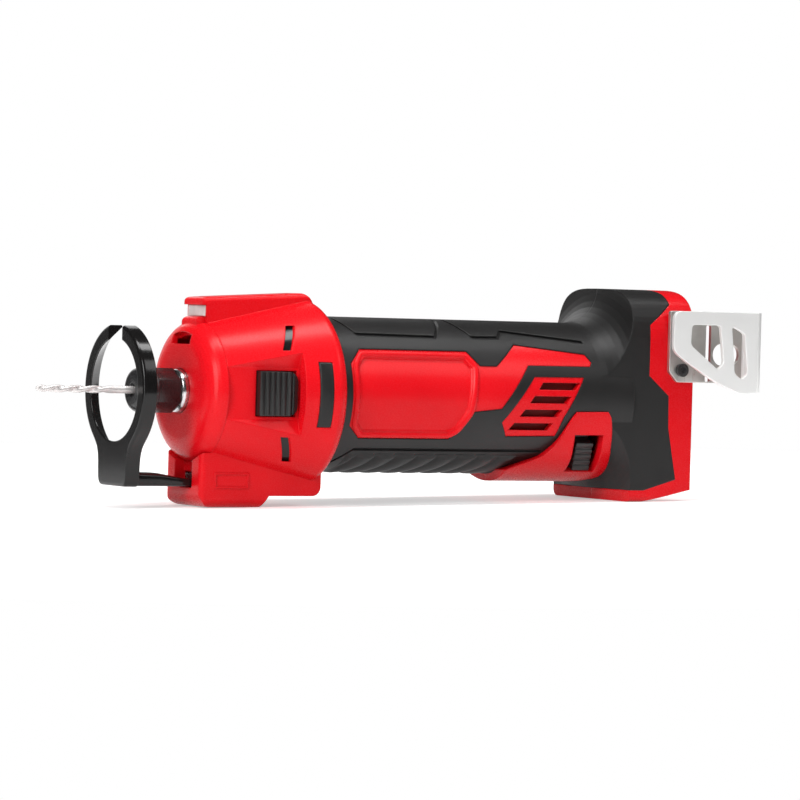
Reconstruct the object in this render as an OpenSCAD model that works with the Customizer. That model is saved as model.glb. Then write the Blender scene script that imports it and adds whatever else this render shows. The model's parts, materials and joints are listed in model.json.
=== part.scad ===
// Cordless drywall cut-out tool without its battery, with a spiral bit in the collet.
// The spindle lies along X: the nose faces -X, the battery foot is at +X and Z is up.
// The origin is on the spindle axis, in the plane of the chin's front, which is called the nose face.
// Sizes are in millimetres.

/* [Handle] */
// outer radius of the rubber handle
handle_radius = 32.5; // [28:0.5:38]
// thickness of the rubber over the shells
grip_thickness = 2.5; // [1.5:0.1:4]
// wall of the moulded shells
shell_wall = 2.4; // [1.8:0.1:3.2]
// how far the red panels stand below the rubber surface
panel_sink = 0.3; // [0:0.1:1]
// depth of the recess inside the badge frame
badge_recess = 1; // [0.4:0.1:1.6]
// pitch of the slanted ribs under the handle
rib_pitch = 10; // [6:0.5:16]
// width of the groove between two ribs
rib_groove = 4.4; // [1:0.1:6]
// depth of the groove between two ribs
rib_depth = 1.5; // [0.4:0.1:1.8]
// width of the line that frames the top pads
pad_line = 1.1; // [0.6:0.1:2]
// depth of that line
pad_line_depth = 0.7; // [0.3:0.1:1.4]

/* [Nose] */
// radius of the flat middle of the cap's front
cap_face_radius = 20; // [16:0.5:26]
// how far the cap's front stands before the nose face
cap_dome = 3; // [1:0.1:5]
// radius of the cap where it meets the nose housing
cap_rim_radius = 29.5; // [26:0.5:34]
// length of the cap from the nose face to the seam
cap_length = 4.9; // [3:0.1:8]
// wall of the cap
cap_wall = 3; // [2:0.1:4]
// radius of the opening round the spindle
cap_opening_radius = 9.4; // [9:0.1:12]
// length of the nose from its face to its rear end
nose_length = 57; // [52:0.5:66]
// radius of the nose at its rear rim
nose_rim_radius = 39.5; // [36:0.5:46]
// rounding of the rear rim
nose_rim_round = 5; // [2:0.5:7]
// wall of the nose housing
nose_wall = 3; // [2:0.1:4]
// width of the ridge along the top
ridge_width = 16.6; // [12:0.2:22]
// height of the ridge above the axis at its front
ridge_front_height = 39.2; // [37:0.1:44]
// height of the ridge above the axis at its rear
ridge_rear_height = 42.2; // [40:0.1:48]
// where the lip over the work light starts
ridge_front = 2.7; // [1:0.1:4]
// width of the chin that carries the depth guide
chin_width = 31.4; // [26:0.2:38]
// depth of the chin below the axis
chin_depth = 48; // [46:0.5:56]
// depth of the raised heel behind the chin
heel_depth = 43; // [42:0.5:46]
// length of the chin's lowest part
chin_length = 29; // [20:0.5:34]
// depth of the pocket that the guide's arm enters
pocket_depth = 4.6; // [2:0.1:5]

/* [Depth guide] */
// outer radius of the guide ring
ring_outer_radius = 27.3; // [24:0.1:32]
// radius of the hole at the front of the ring
ring_inner_radius = 21.3; // [18:0.1:23]
// width of the thin edge at the back of the ring
ring_edge = 0.8; // [0.6:0.1:3]
// depth of the ring along the spindle
ring_depth = 6.4; // [4:0.1:9]
// distance of the ring's front from the nose face
ring_reach = 33.4; // [31:0.1:44]
// width of the sight gap at the top of the ring
sight_gap = 12.5; // [8:0.5:16]
// width of the stem below the ring
stem_width = 26; // [20:0.5:30]
// width of the arm that slides in the chin
arm_width = 14; // [10:0.5:18]
// thickness of the arm
arm_thickness = 5.8; // [4:0.1:7]
// underside of the arm below the axis
guide_drop = 39.8; // [38:0.1:42]
// how far the arm reaches behind the nose face
arm_reach = 26; // [20:0.5:30]
// travel of the guide toward the nose
guide_travel_in = 22; // [10:0.5:24]

/* [Spindle and collet] */
// diameter of the bit
bit_diameter = 3.175; // [2:0.025:3.4]
// distance of the bit's tip from the nose face
bit_reach = 69; // [50:1:90]
// length of the bit's flutes
flute_length = 33; // [15:1:40]
// radius of the nut's front part
nut_radius = 9.3; // [8.8:0.1:10.5]
// distance of the nut's front from the nose face
nut_reach = 25; // [22:0.5:28]
// length of the nut's round front part
nut_front_length = 8.6; // [6:0.2:11]
// distance across the nut's wrench flats
nut_flats = 16.2; // [15.6:0.1:18]
// gap between the nut and the bright ring
nut_gap = 0.4; // [0.2:0.1:1.5]
// radius of the bright ring behind the nut
dust_ring_radius = 8; // [7.6:0.1:8.6]
// length of the bright ring
dust_ring_length = 5.6; // [4:0.1:6.5]
// radius of the spindle in the front bearing
journal_radius = 6; // [5.6:0.1:6.4]
// radius of the motor shaft
shaft_radius = 4; // [3.5:0.1:5]
// radius of the shaft in the rear bearing
tail_radius = 3; // [2.5:0.1:3.4]

/* [Spindle lock] */
// length of the button along the spindle
button_length = 17.8; // [14:0.2:20]
// height of the button
button_height = 18.4; // [14:0.2:19]
// distance of the button's front from the nose face
button_front = 18.4; // [17:0.1:21]
// distance of the channel floor from the axis at the button
channel_floor = 28.6; // [27.5:0.1:30]
// how far the button stands out of the channel floor
button_stand = 2.9; // [2.4:0.1:5]
// travel of the button
button_travel = 3.5; // [2:0.1:3.6]
// radius of the lock pin
lock_pin_radius = 2.5; // [2:0.1:3]
// radius of the collar that the pin locks
collar_radius = 11; // [10:0.1:12]
// length of that collar
collar_length = 12; // [9:0.5:13]

/* [Motor] */
// radius of the motor can
motor_radius = 24.5; // [22:0.1:25]
// wall of the motor can
motor_wall = 1.6; // [1:0.1:2.5]
// where the motor can starts behind the nose face
motor_front = 59; // [58:0.5:64]
// length of the motor can
motor_length = 58; // [50:1:62]
// radius of the armature
armature_radius = 16; // [13:0.5:17]
// length of the armature's iron core
core_length = 42; // [34:1:46]
// radius of the commutator
commutator_radius = 9.5; // [8:0.1:11]
// length of the commutator
commutator_length = 13; // [10:0.5:15]
// outer radius of the fan
fan_radius = 25; // [20:0.5:27]
// width of the fan
fan_width = 9; // [6:0.5:10]

/* [Switch] */
// width of the slide switch along the handle
slider_width = 14; // [10:0.5:18]
// length of the slide switch
slider_length = 15.4; // [12:0.2:18]
// travel of the slide switch
slider_travel = 4.5; // [3:0.1:6]
// where the switch's window is centred behind the nose face
switch_station = 176.5; // [172:0.5:180]
// how far the switch bulge hangs below the handle
bulge_drop = 4; // [2:0.1:6]
// direction that the switch faces, below level
switch_angle = 38; // [30:1:50]

/* [Foot] */
// where the foot's front face lies behind the nose face
foot_front = 202; // [194:1:212]
// length of the foot along the spindle
foot_length = 31; // [28:0.5:40]
// width of the foot
foot_width = 62; // [56:0.5:76]
// height of the foot above the axis
foot_top = 47.8; // [42:0.2:56]
// depth of the foot below the axis
foot_bottom = 44.2; // [40:0.2:50]
// how much the foot's underside rises toward the rear
foot_rise = 5.6; // [0:0.2:8]
// radius of the hollow that blends the handle into the foot
foot_blend = 16; // [10:0.5:18]
// height of the red rim at the bottom of the foot
rim_height = 5; // [3:0.2:8]
// width between the battery rails' channels
bay_width = 47; // [40:0.5:50]
// width of the mouth between the rails
bay_mouth = 39; // [34:0.5:44]
// depth of the battery bay
bay_depth = 13.6; // [11:0.2:15]
// thickness of the rails
rail_thickness = 4; // [3:0.1:5]
// top of the battery bay above the axis
bay_top = 33; // [28:0.5:38]

/* [Belt hook] */
// thickness of the hook's sheet
hook_sheet = 2; // [1:0.1:3]
// clear gap inside the hook
hook_gap = 10; // [6:0.5:16]
// how far the hook reaches behind the foot
hook_reach = 27; // [20:0.5:40]
// how far the free leg overlaps the foot
hook_overlap = 20; // [12:0.5:24]
// top of the hook above the axis
hook_top = 39; // [34:0.5:42]
// height of the hook's free leg
hook_height = 35.6; // [28:0.2:38]

/* [Fits] */
// clearance between pieces that move apart
fit_gap = 0.3; // [0.2:0.05:0.5]
// clearance round a piece that is seated in another
seat_gap = 0.05; // [0.02:0.01:0.1]

/* [Hidden] */
$fn = 72;
// steps in a quarter of a drawn arc
arc_steps = 8;
// how far a cut runs past the piece that it cuts
overrun = 1;
// a length past every piece
far = 400;

shell_radius = handle_radius - grip_thickness;
shell_inner = shell_radius - shell_wall;
panel_radius = handle_radius - panel_sink;
grip_front = nose_length + fit_gap;
// how far the shells reach into the nose
spigot_reach = 9.7;
shell_front = nose_length - spigot_reach;
foot_rear = foot_front + foot_length;
bay_floor = foot_rear - bay_depth;
core_front = foot_front + grip_thickness;
blend_front = foot_front - foot_blend;

// front bearing and the bulkhead that carries it
front_bearing_radius = 14;
front_bearing_width = 8;
bearing_setback = 4.5;
bearing_lip = 0.6;
front_bearing_x = cap_length + bearing_setback;
bulkhead_x = front_bearing_x - bearing_lip;
bulkhead_rear = front_bearing_x + front_bearing_width + bearing_lip;
ring_wall = 2.4;
ball_count = 9;

// lock collar, fan and motor stations along the spindle
lock_x = button_front + button_length / 2;
collar_x = lock_x - collar_length / 2;
flange_thickness = 2;
flange_lip = 1.8;
fan_space = 2;
fan_x = max(collar_x + collar_length, button_front + button_length + flange_lip) + fan_space;
core_setback = 8;
core_x = motor_front + core_setback;
winding_front = 5;
winding_rear = 7;
commutator_space = 2;
commutator_x = max(motor_front + motor_length, core_x + core_length + winding_rear) + commutator_space;
rear_bearing_radius = 9.5;
rear_bearing_width = 6;
bearing_space = 4;
tail_stub = 1;
rear_bearing_x = commutator_x + commutator_length + bearing_space;
tail_end = rear_bearing_x + rear_bearing_width + tail_stub;

// places in the nose
spigot_step = 0.4;
spigot_length = 3.6;
cavity_step = 1;
spigot_radius = cap_rim_radius - nose_wall - spigot_step;
spigot_end = cap_length + spigot_length;
cavity_radius = shell_radius + cavity_step;
lens_bottom = 31.2;
lens_height = 4.7;
lens_front = 4.1;
lens_depth = 4.4;
board_thickness = 1.6;
cheek_thickness = 0.7;
cheek_setback = 0.3;
light_space = 3;
lens_width = ridge_width - 2 * cheek_thickness;
light_back = lens_front + lens_depth + light_space;
arm_top = -guide_drop + arm_thickness;
slot_spare = 1.5;
slot_end = arm_reach + guide_travel_in + slot_spare;
pad_thickness = 2.6;

// the switch sits square to the bulge, in a window that leans along the handle
switch_lean_share = 0.2;
bulge_raise = 0.2;
bulge_wall = 3;
bulge_radius = handle_radius + bulge_raise;
bulge_inner = bulge_radius - bulge_wall;

// outlines in the side view: [share of the length, share of the half height]
panel_setback = 5;
panel_front = nose_length + panel_setback;
panel_length = 120;
panel_height = 20;
panel_shares = [
    [0, 0.66], [0.048, 0.96], [0.483, 0.96], [0.527, 0.66], [0.595, 0.66], [0.694, 1.12],
    [0.98, 0.95], [1, 0.78], [0.99, 0.69], [0.729, 0.69], [0.61, -0.24], [0.484, -0.32],
    [0.455, -0.72], [0.415, -0.9], [0.05, -0.9], [0, -0.64]
];
badge_shares = [
    [0.024, 0.56], [0.062, 0.8], [0.468, 0.8], [0.495, 0.6], [0.475, -0.3],
    [0.435, -0.66], [0.408, -0.76], [0.063, -0.76], [0.024, -0.55]
];
// lower edges of the two pads on top: [share of the panel's length, share of the handle's radius]
pad_line_shares = [
    [[0.02, 0.97], [0.063, 0.78], [0.382, 0.766], [0.403, 0.84], [0.447, 0.99]],
    [[0.483, 0.99], [0.535, 0.772], [0.643, 0.777], [0.672, 0.857], [0.994, 0.743]]
];
rib_line_shares = [[-0.04, -0.98], [0.05, -0.7], [0.8, -0.7]];
vent_setback = 74.2;
vent_front = panel_front + vent_setback;
vent_length = 40.6;
vent_height = 16.5;
vent_shares = [[0.38, 0.55], [1, 0.56], [0.643, -0.98], [0.09, -1], [0, -0.64]];
vent_slots = 4;
vent_slot_pitch = 5.8;
vent_slot_height = 3;
vent_slot_length = 18.6;
vent_slot_lean = 4.4;
vent_first_setback = 17.4;
vent_first_height = 3.7;
vent_first = [vent_front + vent_first_setback, vent_first_height];
bulge_lead = 30;
bulge_front = switch_station - bulge_lead;
bulge_length = 44;
bulge_height = 40;
bulge_shares = [
    [0.6, -0.14], [0.96, -0.135], [1, -0.2], [0.985, -0.75], [0.93, -0.98], [0.85, -1.1],
    [0.06, -1.1], [0, -0.78], [0.25, -0.62]
];
chevron_shares = [
    [0.68, 1.2], [0.66, 0.87], [0.27, 0.68], [0.27, 0.22], [0.6, 0.04], [0.61, -0.25], [0.75, -0.72]
];
hook_near_shares = [
    [0.1, 1], [1.1, 1], [1.1, 0.02], [0.94, 0], [0.62, 0.1], [0.48, 0.14], [0.13, 0.4],
    [0.02, 0.51], [0, 0.7], [0.03, 0.92]
];
hook_window_shares = [[0.21, 0.83], [0.52, 0.83], [0.56, 0.38], [0.52, 0.33], [0.2, 0.57]];
hook_slit_shares = [[0.65, 0.83], [0.79, 0.74], [0.83, 0.26], [0.78, 0.2], [0.69, 0.27]];
hook_far_shares = [[0.13, 1], [1.1, 1], [1.1, 0.13], [0.22, 0.13], [0.13, 0.26]];
hook_end_shares = [[0.8, 1], [1.1, 1], [1.1, 0.02], [0.8, 0.02]];

red = [0.86, 0.06, 0.09];
dark_rubber = [0.2, 0.2, 0.21];
black = [0.09, 0.09, 0.1];
steel = [0.72, 0.73, 0.75];
dark_steel = [0.25, 0.25, 0.27];
copper = [0.75, 0.42, 0.2];
board_green = [0.1, 0.35, 0.2];

// points of an arc round a centre
function arc(centre, radius, from, to, steps = arc_steps) =
    [for (k = [0:steps]) let (a = from + (to - from) * k / steps)
        centre + radius * [cos(a), sin(a)]];

// an outline of shares set at a start, with its own length and height
function outline(shares, start, length, height, base = 0) =
    [for (p = shares) [start + p[0] * length, base + p[1] * height]];

// a profile of [radius, x] turned about the spindle axis
module turn(profile) {
    rotate([0, 90, 0]) rotate_extrude() polygon(profile);
}

// a round bar along the spindle axis
module rod(from, to, radius) {
    translate([from, 0, 0]) rotate([0, 90, 0]) cylinder(r = radius, h = to - from);
}

// a tube along the spindle axis
module tube(from, to, inner, outer) {
    turn([[inner, from], [outer, from], [outer, to], [inner, to]]);
}

// a block given by its limits
module block(x, y, z) {
    translate([x[0], y[0], z[0]]) cube([x[1] - x[0], y[1] - y[0], z[1] - z[0]]);
}

// a side view outline given a width across the tool
module side_plate(points, from, to) {
    translate([0, to, 0]) rotate([90, 0, 0]) linear_extrude(to - from) polygon(points);
}

// an end view outline given a length along the tool
module end_plate(points, from, to) {
    translate([from, 0, 0]) rotate([90, 0, 90]) linear_extrude(to - from) polygon(points);
}

// the same piece on both sides of the tool
module both_sides() {
    children();
    mirror([0, 1, 0]) children();
}

// what lies on the near side of the middle plane
module near_half() {
    intersection() {
        children();
        block([-far, far], [-far, 0], [-far, far]);
    }
}

// a wound wire of round section along Z, one unbroken tube of triangles
module coil(radius, wire, length, turns) {
    rings = 12 * turns;
    sides = 6;
    rise = length - 2 * wire;
    points = [for (k = [0:rings]) let (a = 360 * turns * k / rings) for (s = [0:sides - 1])
        let (b = 360 * s / sides, r = radius + wire * cos(b))
            [r * cos(a), r * sin(a), wire + rise * k / rings + wire * sin(b)]];
    walls = [for (k = [0:rings - 1]) for (s = [0:sides - 1]) let (t = (s + 1) % sides)
        for (f = [[k * sides + s, k * sides + t, (k + 1) * sides + t],
                  [k * sides + s, (k + 1) * sides + t, (k + 1) * sides + s]]) f];
    first = [for (s = [1:sides - 2]) [0, s + 1, s]];
    last = [for (s = [1:sides - 2]) [rings * sides, rings * sides + s, rings * sides + s + 1]];
    polyhedron(points, [for (f = concat(walls, first, last)) [f[0], f[2], f[1]]], convexity = 6);
}

// radius of the nose's cone at a place along the spindle
rim_x = nose_length - nose_rim_round;
function cone_radius(x) =
    cap_rim_radius + (nose_rim_radius - cap_rim_radius) * (x - cap_length) / (rim_x - cap_length);

module nose_body() {
    turn(concat(
        [[0, cap_length], [cap_rim_radius, cap_length]],
        arc([nose_rim_radius - nose_rim_round, rim_x], nose_rim_round, 0, 90),
        [[0, nose_length]]
    ));
}

module nose_ridge() {
    end_round = 7;
    end_setback = 1.6;
    ridge_end = nose_length - end_setback;
    lip_round = 1.8;
    edge_round = 2.2;
    half = ridge_width / 2;
    lens_top = lens_bottom + lens_height;
    slope = atan((ridge_rear_height - ridge_front_height) / (ridge_end - ridge_front));
    intersection() {
        side_plate(concat(
            [[cap_length, 0], [cap_length, lens_bottom], [lens_front + cheek_setback, lens_bottom],
             [lens_front + cheek_setback, lens_top], [ridge_front, lens_top]],
            arc([ridge_front + lip_round, ridge_front_height - lip_round], lip_round, 180, 90),
            arc([ridge_end - end_round, ridge_rear_height - end_round], end_round, 90, 0),
            [[ridge_end, 0]]
        ), -half, half);
        translate([ridge_front, 0, ridge_front_height]) rotate([0, -slope, 0]) end_plate(concat(
            [[half, -nose_rim_radius - far], [half, -edge_round]],
            arc([half - edge_round, -edge_round], edge_round, 0, 90),
            arc([edge_round - half, -edge_round], edge_round, 90, 180),
            [[-half, -nose_rim_radius - far]]
        ), -far, far);
    }
}

module nose_chin() {
    corner = 4;
    front_corner = 6;
    edge = 2.4;
    slope = 3.4;
    half = chin_width / 2;
    difference() {
        intersection() {
            side_plate(concat(
                arc([front_corner, front_corner - chin_depth], front_corner, 180, 270),
                [[chin_length, -chin_depth], [chin_length + slope, -heel_depth]],
                arc([nose_length - corner, corner - heel_depth], corner, 270, 360),
                [[nose_length, 0], [0, 0]]
            ), -half, half);
            end_plate(concat(
                [[half, 0], [-half, 0]],
                arc([corner - half, corner - chin_depth], corner, 180, 270),
                arc([half - corner, corner - chin_depth], corner, 270, 360)
            ), -overrun, nose_length + overrun);
            translate([0, 0, -far]) linear_extrude(far) polygon(concat(
                arc([edge, edge - half], edge, 270, 180, arc_steps / 2),
                arc([edge, half - edge], edge, 180, 90, arc_steps / 2),
                [[nose_length, half], [nose_length, -half]]
            ));
        }
        rod(-overrun, cap_length, cap_rim_radius + seat_gap);
    }
}

// the valley that leads from the seam to the lock button, a little deeper at the seam
channel_half = 10.8;
channel_tilt = 3;
channel_flare_share = 2.2;
channel_spare = 1.5;
channel_end = button_front + button_length + channel_spare;
module side_channel() {
    rise = nose_rim_radius - channel_floor + overrun;
    top = channel_half + channel_flare_share * rise;
    translate([lock_x, -channel_floor, 0]) rotate([0, 0, -channel_tilt]) end_plate([
        [0, -channel_half], [0, channel_half], [-rise, top], [-rise, -top]
    ], cap_length - overrun - lock_x, channel_end - lock_x);
}

// thicker wall behind the valley, flat inside for the button's flange
module channel_pad() {
    intersection() {
        nose_body();
        block([spigot_end + seat_gap, channel_end + nose_wall], [-far, pad_thickness - channel_floor],
            [-channel_half - nose_wall, channel_half + nose_wall]);
    }
}

module button_window() {
    block([button_front - fit_gap, button_front + button_length + fit_gap], [-far, -channel_floor / 2],
        [-button_height / 2 - fit_gap, button_height / 2 + fit_gap]);
}

module nose_vents() {
    vent_width = 2.6;
    vent_low = 18;
    vent_high = 28.2;
    vent_lean = 5;
    low_front = channel_end - vent_width - vent_lean;
    for (side = [-1, 1])
        side_plate([
            [low_front, side * vent_low], [low_front + vent_width, side * vent_low],
            [low_front + vent_width + vent_lean, side * vent_high], [low_front + vent_lean, side * vent_high]
        ], -far, -nose_rim_radius / 3);
}

bumper_setback = 13.6;
bumper_front = nose_length - bumper_setback;
bumper_length = 5.8;
bumper_height = 27;
bumper_depth = 3;
bumper_raise = 0.4;
module bumper(gap, raise) {
    front = bumper_front - gap;
    rear = bumper_front + bumper_length + gap;
    inside = cone_radius(bumper_front) - bumper_depth - gap;
    intersection() {
        turn([[inside, front], [cone_radius(front) + raise, front],
            [cone_radius(rear) + raise, rear], [inside, rear]]);
        block([0, nose_length], [-far, 0], [-bumper_height / 2 - gap, bumper_height / 2 + gap]);
    }
}

spring_pocket_front = 5;
spring_pocket_length = 24;
spring_pocket_depth = 3;
module guide_slot() {
    half = arm_width / 2 + fit_gap;
    z = [-guide_drop - fit_gap, arm_top + fit_gap];
    block([-overrun, slot_end], [-half, half], z);
    block([spring_pocket_front, spring_pocket_front + spring_pocket_length],
        [0, half + spring_pocket_depth], z);
}

module chin_pocket() {
    spare = 0.6;
    half = arm_width / 2 + spare;
    block([-overrun, pocket_depth], [-half, half], [-guide_drop - fit_gap, -cap_face_radius]);
}

module bulkhead() {
    air_holes = 6;
    air_hole_radius = 3;
    air_circle = (front_bearing_radius + cone_radius(bulkhead_x) - nose_wall) / 2;
    difference() {
        tube(bulkhead_x, bulkhead_rear, front_bearing_radius + seat_gap,
            cone_radius(bulkhead_x) - nose_wall / 2);
        for (k = [0:air_holes - 1])
            rotate([360 * (k + 0.5) / air_holes, 0, 0])
                translate([bulkhead_x - overrun, 0, air_circle])
                    rotate([0, 90, 0]) cylinder(r = air_hole_radius, h = far);
    }
}

module nose_cavity() {
    turn([
        [0, cap_length - overrun], [spigot_radius + seat_gap, cap_length - overrun],
        [spigot_radius + seat_gap, spigot_end + seat_gap], [cone_radius(spigot_end) - nose_wall, spigot_end + seat_gap],
        [cavity_radius, lock_x], [cavity_radius, shell_front], [shell_radius + seat_gap, shell_front],
        [shell_radius + seat_gap, nose_length + overrun], [0, nose_length + overrun]
    ]);
}

module light_cavity() {
    half = lens_width / 2;
    block([-overrun, light_back], [-half, half], [lens_bottom, lens_bottom + lens_height]);
}

// plain raised frame on the side of the chin
module chin_frame() {
    length = 16.2;
    height = 6.6;
    line = 0.9;
    raise = 0.5;
    front = 6.3;
    bottom = -40;
    half = chin_width / 2;
    for (side = [-1, 1])
        difference() {
            block([front, front + length], [side * half - raise, side * half + raise], [bottom, bottom + height]);
            block([front + line, front + length - line], [-far, far], [bottom + line, bottom + height - line]);
        }
}

module nose_housing() {
    color(red) difference() {
        union() {
            difference() {
                union() {
                    nose_body();
                    nose_ridge();
                    nose_chin();
                    chin_frame();
                }
                nose_cavity();
            }
            bulkhead();
            both_sides() channel_pad();
        }
        light_cavity();
        both_sides() side_channel();
        button_window();
        both_sides() nose_vents();
        both_sides() bumper(seat_gap, overrun);
        guide_slot();
        chin_pocket();
    }
}

module nose_cap() {
    front = -cap_dome;
    rim = [for (k = [0:arc_steps]) let (a = 90 * k / arc_steps)
        [cap_face_radius + (cap_rim_radius - cap_face_radius) * sin(a),
         front + (cap_length - front) * (1 - cos(a))]];
    slot_half = 8;
    slot_bottom = 19.5;
    slot_arch = 24.6;
    arch = asin(slot_half / slot_arch);
    tongue_half = 6.6;
    tongue_front = 0.8;
    tongue_round = 2.4;
    tongue_top = lens_bottom - seat_gap;
    color(red) difference() {
        union() {
            turn(concat([[cap_opening_radius, front]], rim, [
                [spigot_radius, cap_length], [spigot_radius, spigot_end],
                [spigot_radius - cap_wall, spigot_end], [spigot_radius - cap_wall, front + cap_wall],
                [cap_opening_radius, front + cap_wall]
            ]));
            intersection() {
                end_plate(concat(
                    [[-tongue_half, cap_rim_radius - cap_wall], [tongue_half, cap_rim_radius - cap_wall]],
                    arc([tongue_half - tongue_round, tongue_top - tongue_round], tongue_round, 0, 90),
                    arc([tongue_round - tongue_half, tongue_top - tongue_round], tongue_round, 90, 180)
                ), tongue_front, cap_length - seat_gap);
                side_plate(concat(
                    [[cap_length, 0], [tongue_front, 0]],
                    arc([tongue_front + tongue_round, tongue_top - tongue_round], tongue_round, 180, 90),
                    [[cap_length, tongue_top]]
                ), -tongue_half, tongue_half);
            }
        }
        end_plate(concat(
            [[slot_half, slot_bottom]],
            arc([0, 0], slot_arch, 90 - arch, 90 + arch),
            [[-slot_half, slot_bottom]]
        ), front - overrun, front + cap_wall + overrun);
    }
}

module light_lens() {
    half = lens_width / 2 - seat_gap;
    color([0.95, 0.95, 0.92]) block([lens_front, lens_front + lens_depth], [-half, half],
        [lens_bottom + seat_gap, lens_bottom + lens_height - seat_gap]);
}

module light_board() {
    half = lens_width / 2 - seat_gap;
    emitter = 2.6;
    emitter_depth = light_back - board_thickness - lens_front - lens_depth - fit_gap;
    middle = lens_bottom + lens_height / 2;
    color(board_green) union() {
        block([light_back - board_thickness, light_back], [-half, half],
            [lens_bottom + seat_gap, lens_bottom + lens_height - seat_gap]);
        block([light_back - board_thickness - emitter_depth, light_back - board_thickness],
            [-emitter / 2, emitter / 2], [middle - emitter / 2, middle + emitter / 2]);
    }
}

module side_bumpers() {
    color(dark_rubber) both_sides() bumper(0, bumper_raise);
}

// outline of the lock button in the side view, straight in front and round at the rear
function button_outline(grow) =
    let (round = 4, half = button_height / 2 + grow, rear = button_front + button_length + grow)
        concat(
            [[button_front, -half]],
            arc([rear - round, round - half], round, 270, 360),
            arc([rear - round, half - round], round, 0, 90),
            [[button_front, half]]
        );

module lock_button() {
    ribs = 6;
    rib_cut = 1.1;
    groove_depth = 0.6;
    outside = -channel_floor - button_stand;
    seat = pad_thickness - channel_floor + fit_gap;
    pitch = button_length / (ribs + 1);
    color(black) difference() {
        union() {
            side_plate(button_outline(0), outside, seat + flange_thickness);
            side_plate(button_outline(flange_lip), seat, seat + flange_thickness);
        }
        for (k = [1:ribs])
            block([button_front + k * pitch - rib_cut / 2, button_front + k * pitch + rib_cut / 2],
                [outside - overrun, outside + groove_depth], [-far, far]);
    }
}

pin_back = pad_thickness - channel_floor + fit_gap + flange_thickness;
pin_clear = 1.5;
pin_tip = -collar_radius - pin_clear;
module lock_pin() {
    color(steel) translate([lock_x, pin_tip, 0]) rotate([90, 0, 0])
        cylinder(r = lock_pin_radius, h = pin_tip - pin_back);
}

guide_clear = 3.5;
guide_height = 5.5;
guide_inner = -collar_radius - guide_clear;
guide_outer = guide_inner - guide_height;
spring_wire = 0.35;
spring_clear = 1.1;
spring_well = 3;
spring_radius = lock_pin_radius + spring_clear;
spring_seat = guide_outer + spring_well;
module lock_spring() {
    turns = 4;
    gap = 0.1;
    color(steel) translate([lock_x, spring_seat - gap, 0]) rotate([90, 0, 0])
        coil(spring_radius, spring_wire, spring_seat - pin_back - 2 * gap, turns);
}

module lock_guide() {
    half = 7;
    rear = lock_x + half;
    well = spring_radius + spring_wire + fit_gap;
    color(dark_steel) difference() {
        block([bulkhead_rear, rear], [guide_outer, guide_inner], [-half, half]);
        translate([lock_x, 0, 0]) rotate([90, 0, 0])
            cylinder(r = lock_pin_radius + seat_gap, h = far);
        translate([lock_x, spring_seat, 0]) rotate([90, 0, 0]) cylinder(r = well, h = far);
    }
}

module depth_guide() {
    front = -ring_reach;
    back = front + ring_depth;
    back_radius = ring_outer_radius - ring_edge;
    bevel = 0.8;
    corner = 4;
    half = stem_width / 2;
    gusset = 3.4;
    color(black) difference() {
        union() {
            turn([
                [ring_inner_radius, front], [ring_outer_radius - bevel, front],
                [ring_outer_radius, front + bevel], [ring_outer_radius, back], [back_radius, back]
            ]);
            difference() {
                intersection() {
                    end_plate(concat(
                        [[half, 0], [-half, 0]],
                        arc([corner - half, corner - guide_drop], corner, 180, 270),
                        arc([half - corner, corner - guide_drop], corner, 270, 360)
                    ), front, back);
                    side_plate(concat(
                        [[back, 0], [front, 0]],
                        arc([front + corner / 2, corner / 2 - guide_drop], corner / 2, 180, 270),
                        [[back, -guide_drop]]
                    ), -half, half);
                }
                turn([[0, front - overrun], [ring_inner_radius, front - overrun],
                    [ring_inner_radius, front], [back_radius, back],
                    [back_radius, back + overrun], [0, back + overrun]]);
            }
            block([back - overrun, arm_reach], [-arm_width / 2, arm_width / 2], [-guide_drop, arm_top]);
            side_plate([[back - overrun, arm_top - overrun], [back + gusset, arm_top - overrun],
                [back + gusset, arm_top], [back, arm_top + gusset], [back - overrun, arm_top + gusset]],
                -arm_width / 2, arm_width / 2);
        }
        block([front - overrun, back + overrun], [-sight_gap / 2, sight_gap / 2], [0, far]);
    }
}

module guide_spring() {
    leaf = 0.5;
    touch = arm_width / 2 + fit_gap / 3;
    foot = arm_width / 2 + fit_gap + spring_pocket_depth - leaf;
    length = spring_pocket_length - 2 * fit_gap;
    bow = [for (k = [0:arc_steps]) let (s = k / arc_steps)
        [spring_pocket_front + fit_gap + length * s, touch + (foot - touch) * pow(2 * s - 1, 2)]];
    bow_back = [for (k = [arc_steps:-1:0]) bow[k] + [0, leaf]];
    height = arm_thickness - 2 * fit_gap;
    color(steel) translate([0, 0, -guide_drop + fit_gap]) linear_extrude(height) polygon(concat(bow, bow_back));
}

nose_end = -dust_ring_length - nut_gap - seat_gap;
stub_radius = 6.8;
neck_radius = 7;
socket_mouth = 5.2;
socket_root = 3.4;
socket_length = 14;
stub_setback = 3.2;
stub_front = -nut_reach + stub_setback;
collet_nose = 1.6;
module spindle() {
    shoulder_radius = 8;
    journal_space = 6;
    journal_end = core_x - journal_space;
    bore = bit_diameter / 2 + fit_gap;
    bore_end = cap_length;
    color(dark_steel) difference() {
        turn([
            [0, stub_front], [stub_radius, stub_front], [stub_radius, nose_end], [neck_radius, nose_end],
            [neck_radius, 0], [shoulder_radius, 0], [shoulder_radius, front_bearing_x],
            [journal_radius, front_bearing_x], [journal_radius, journal_end], [shaft_radius, journal_end],
            [shaft_radius, rear_bearing_x], [tail_radius, rear_bearing_x], [tail_radius, tail_end], [0, tail_end]
        ]);
        turn([
            [0, stub_front - overrun], [socket_mouth, stub_front - overrun], [socket_mouth, stub_front],
            [socket_root, stub_front + socket_length], [bore, stub_front + socket_length],
            [bore, bore_end], [0, bore_end]
        ]);
    }
}

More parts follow.
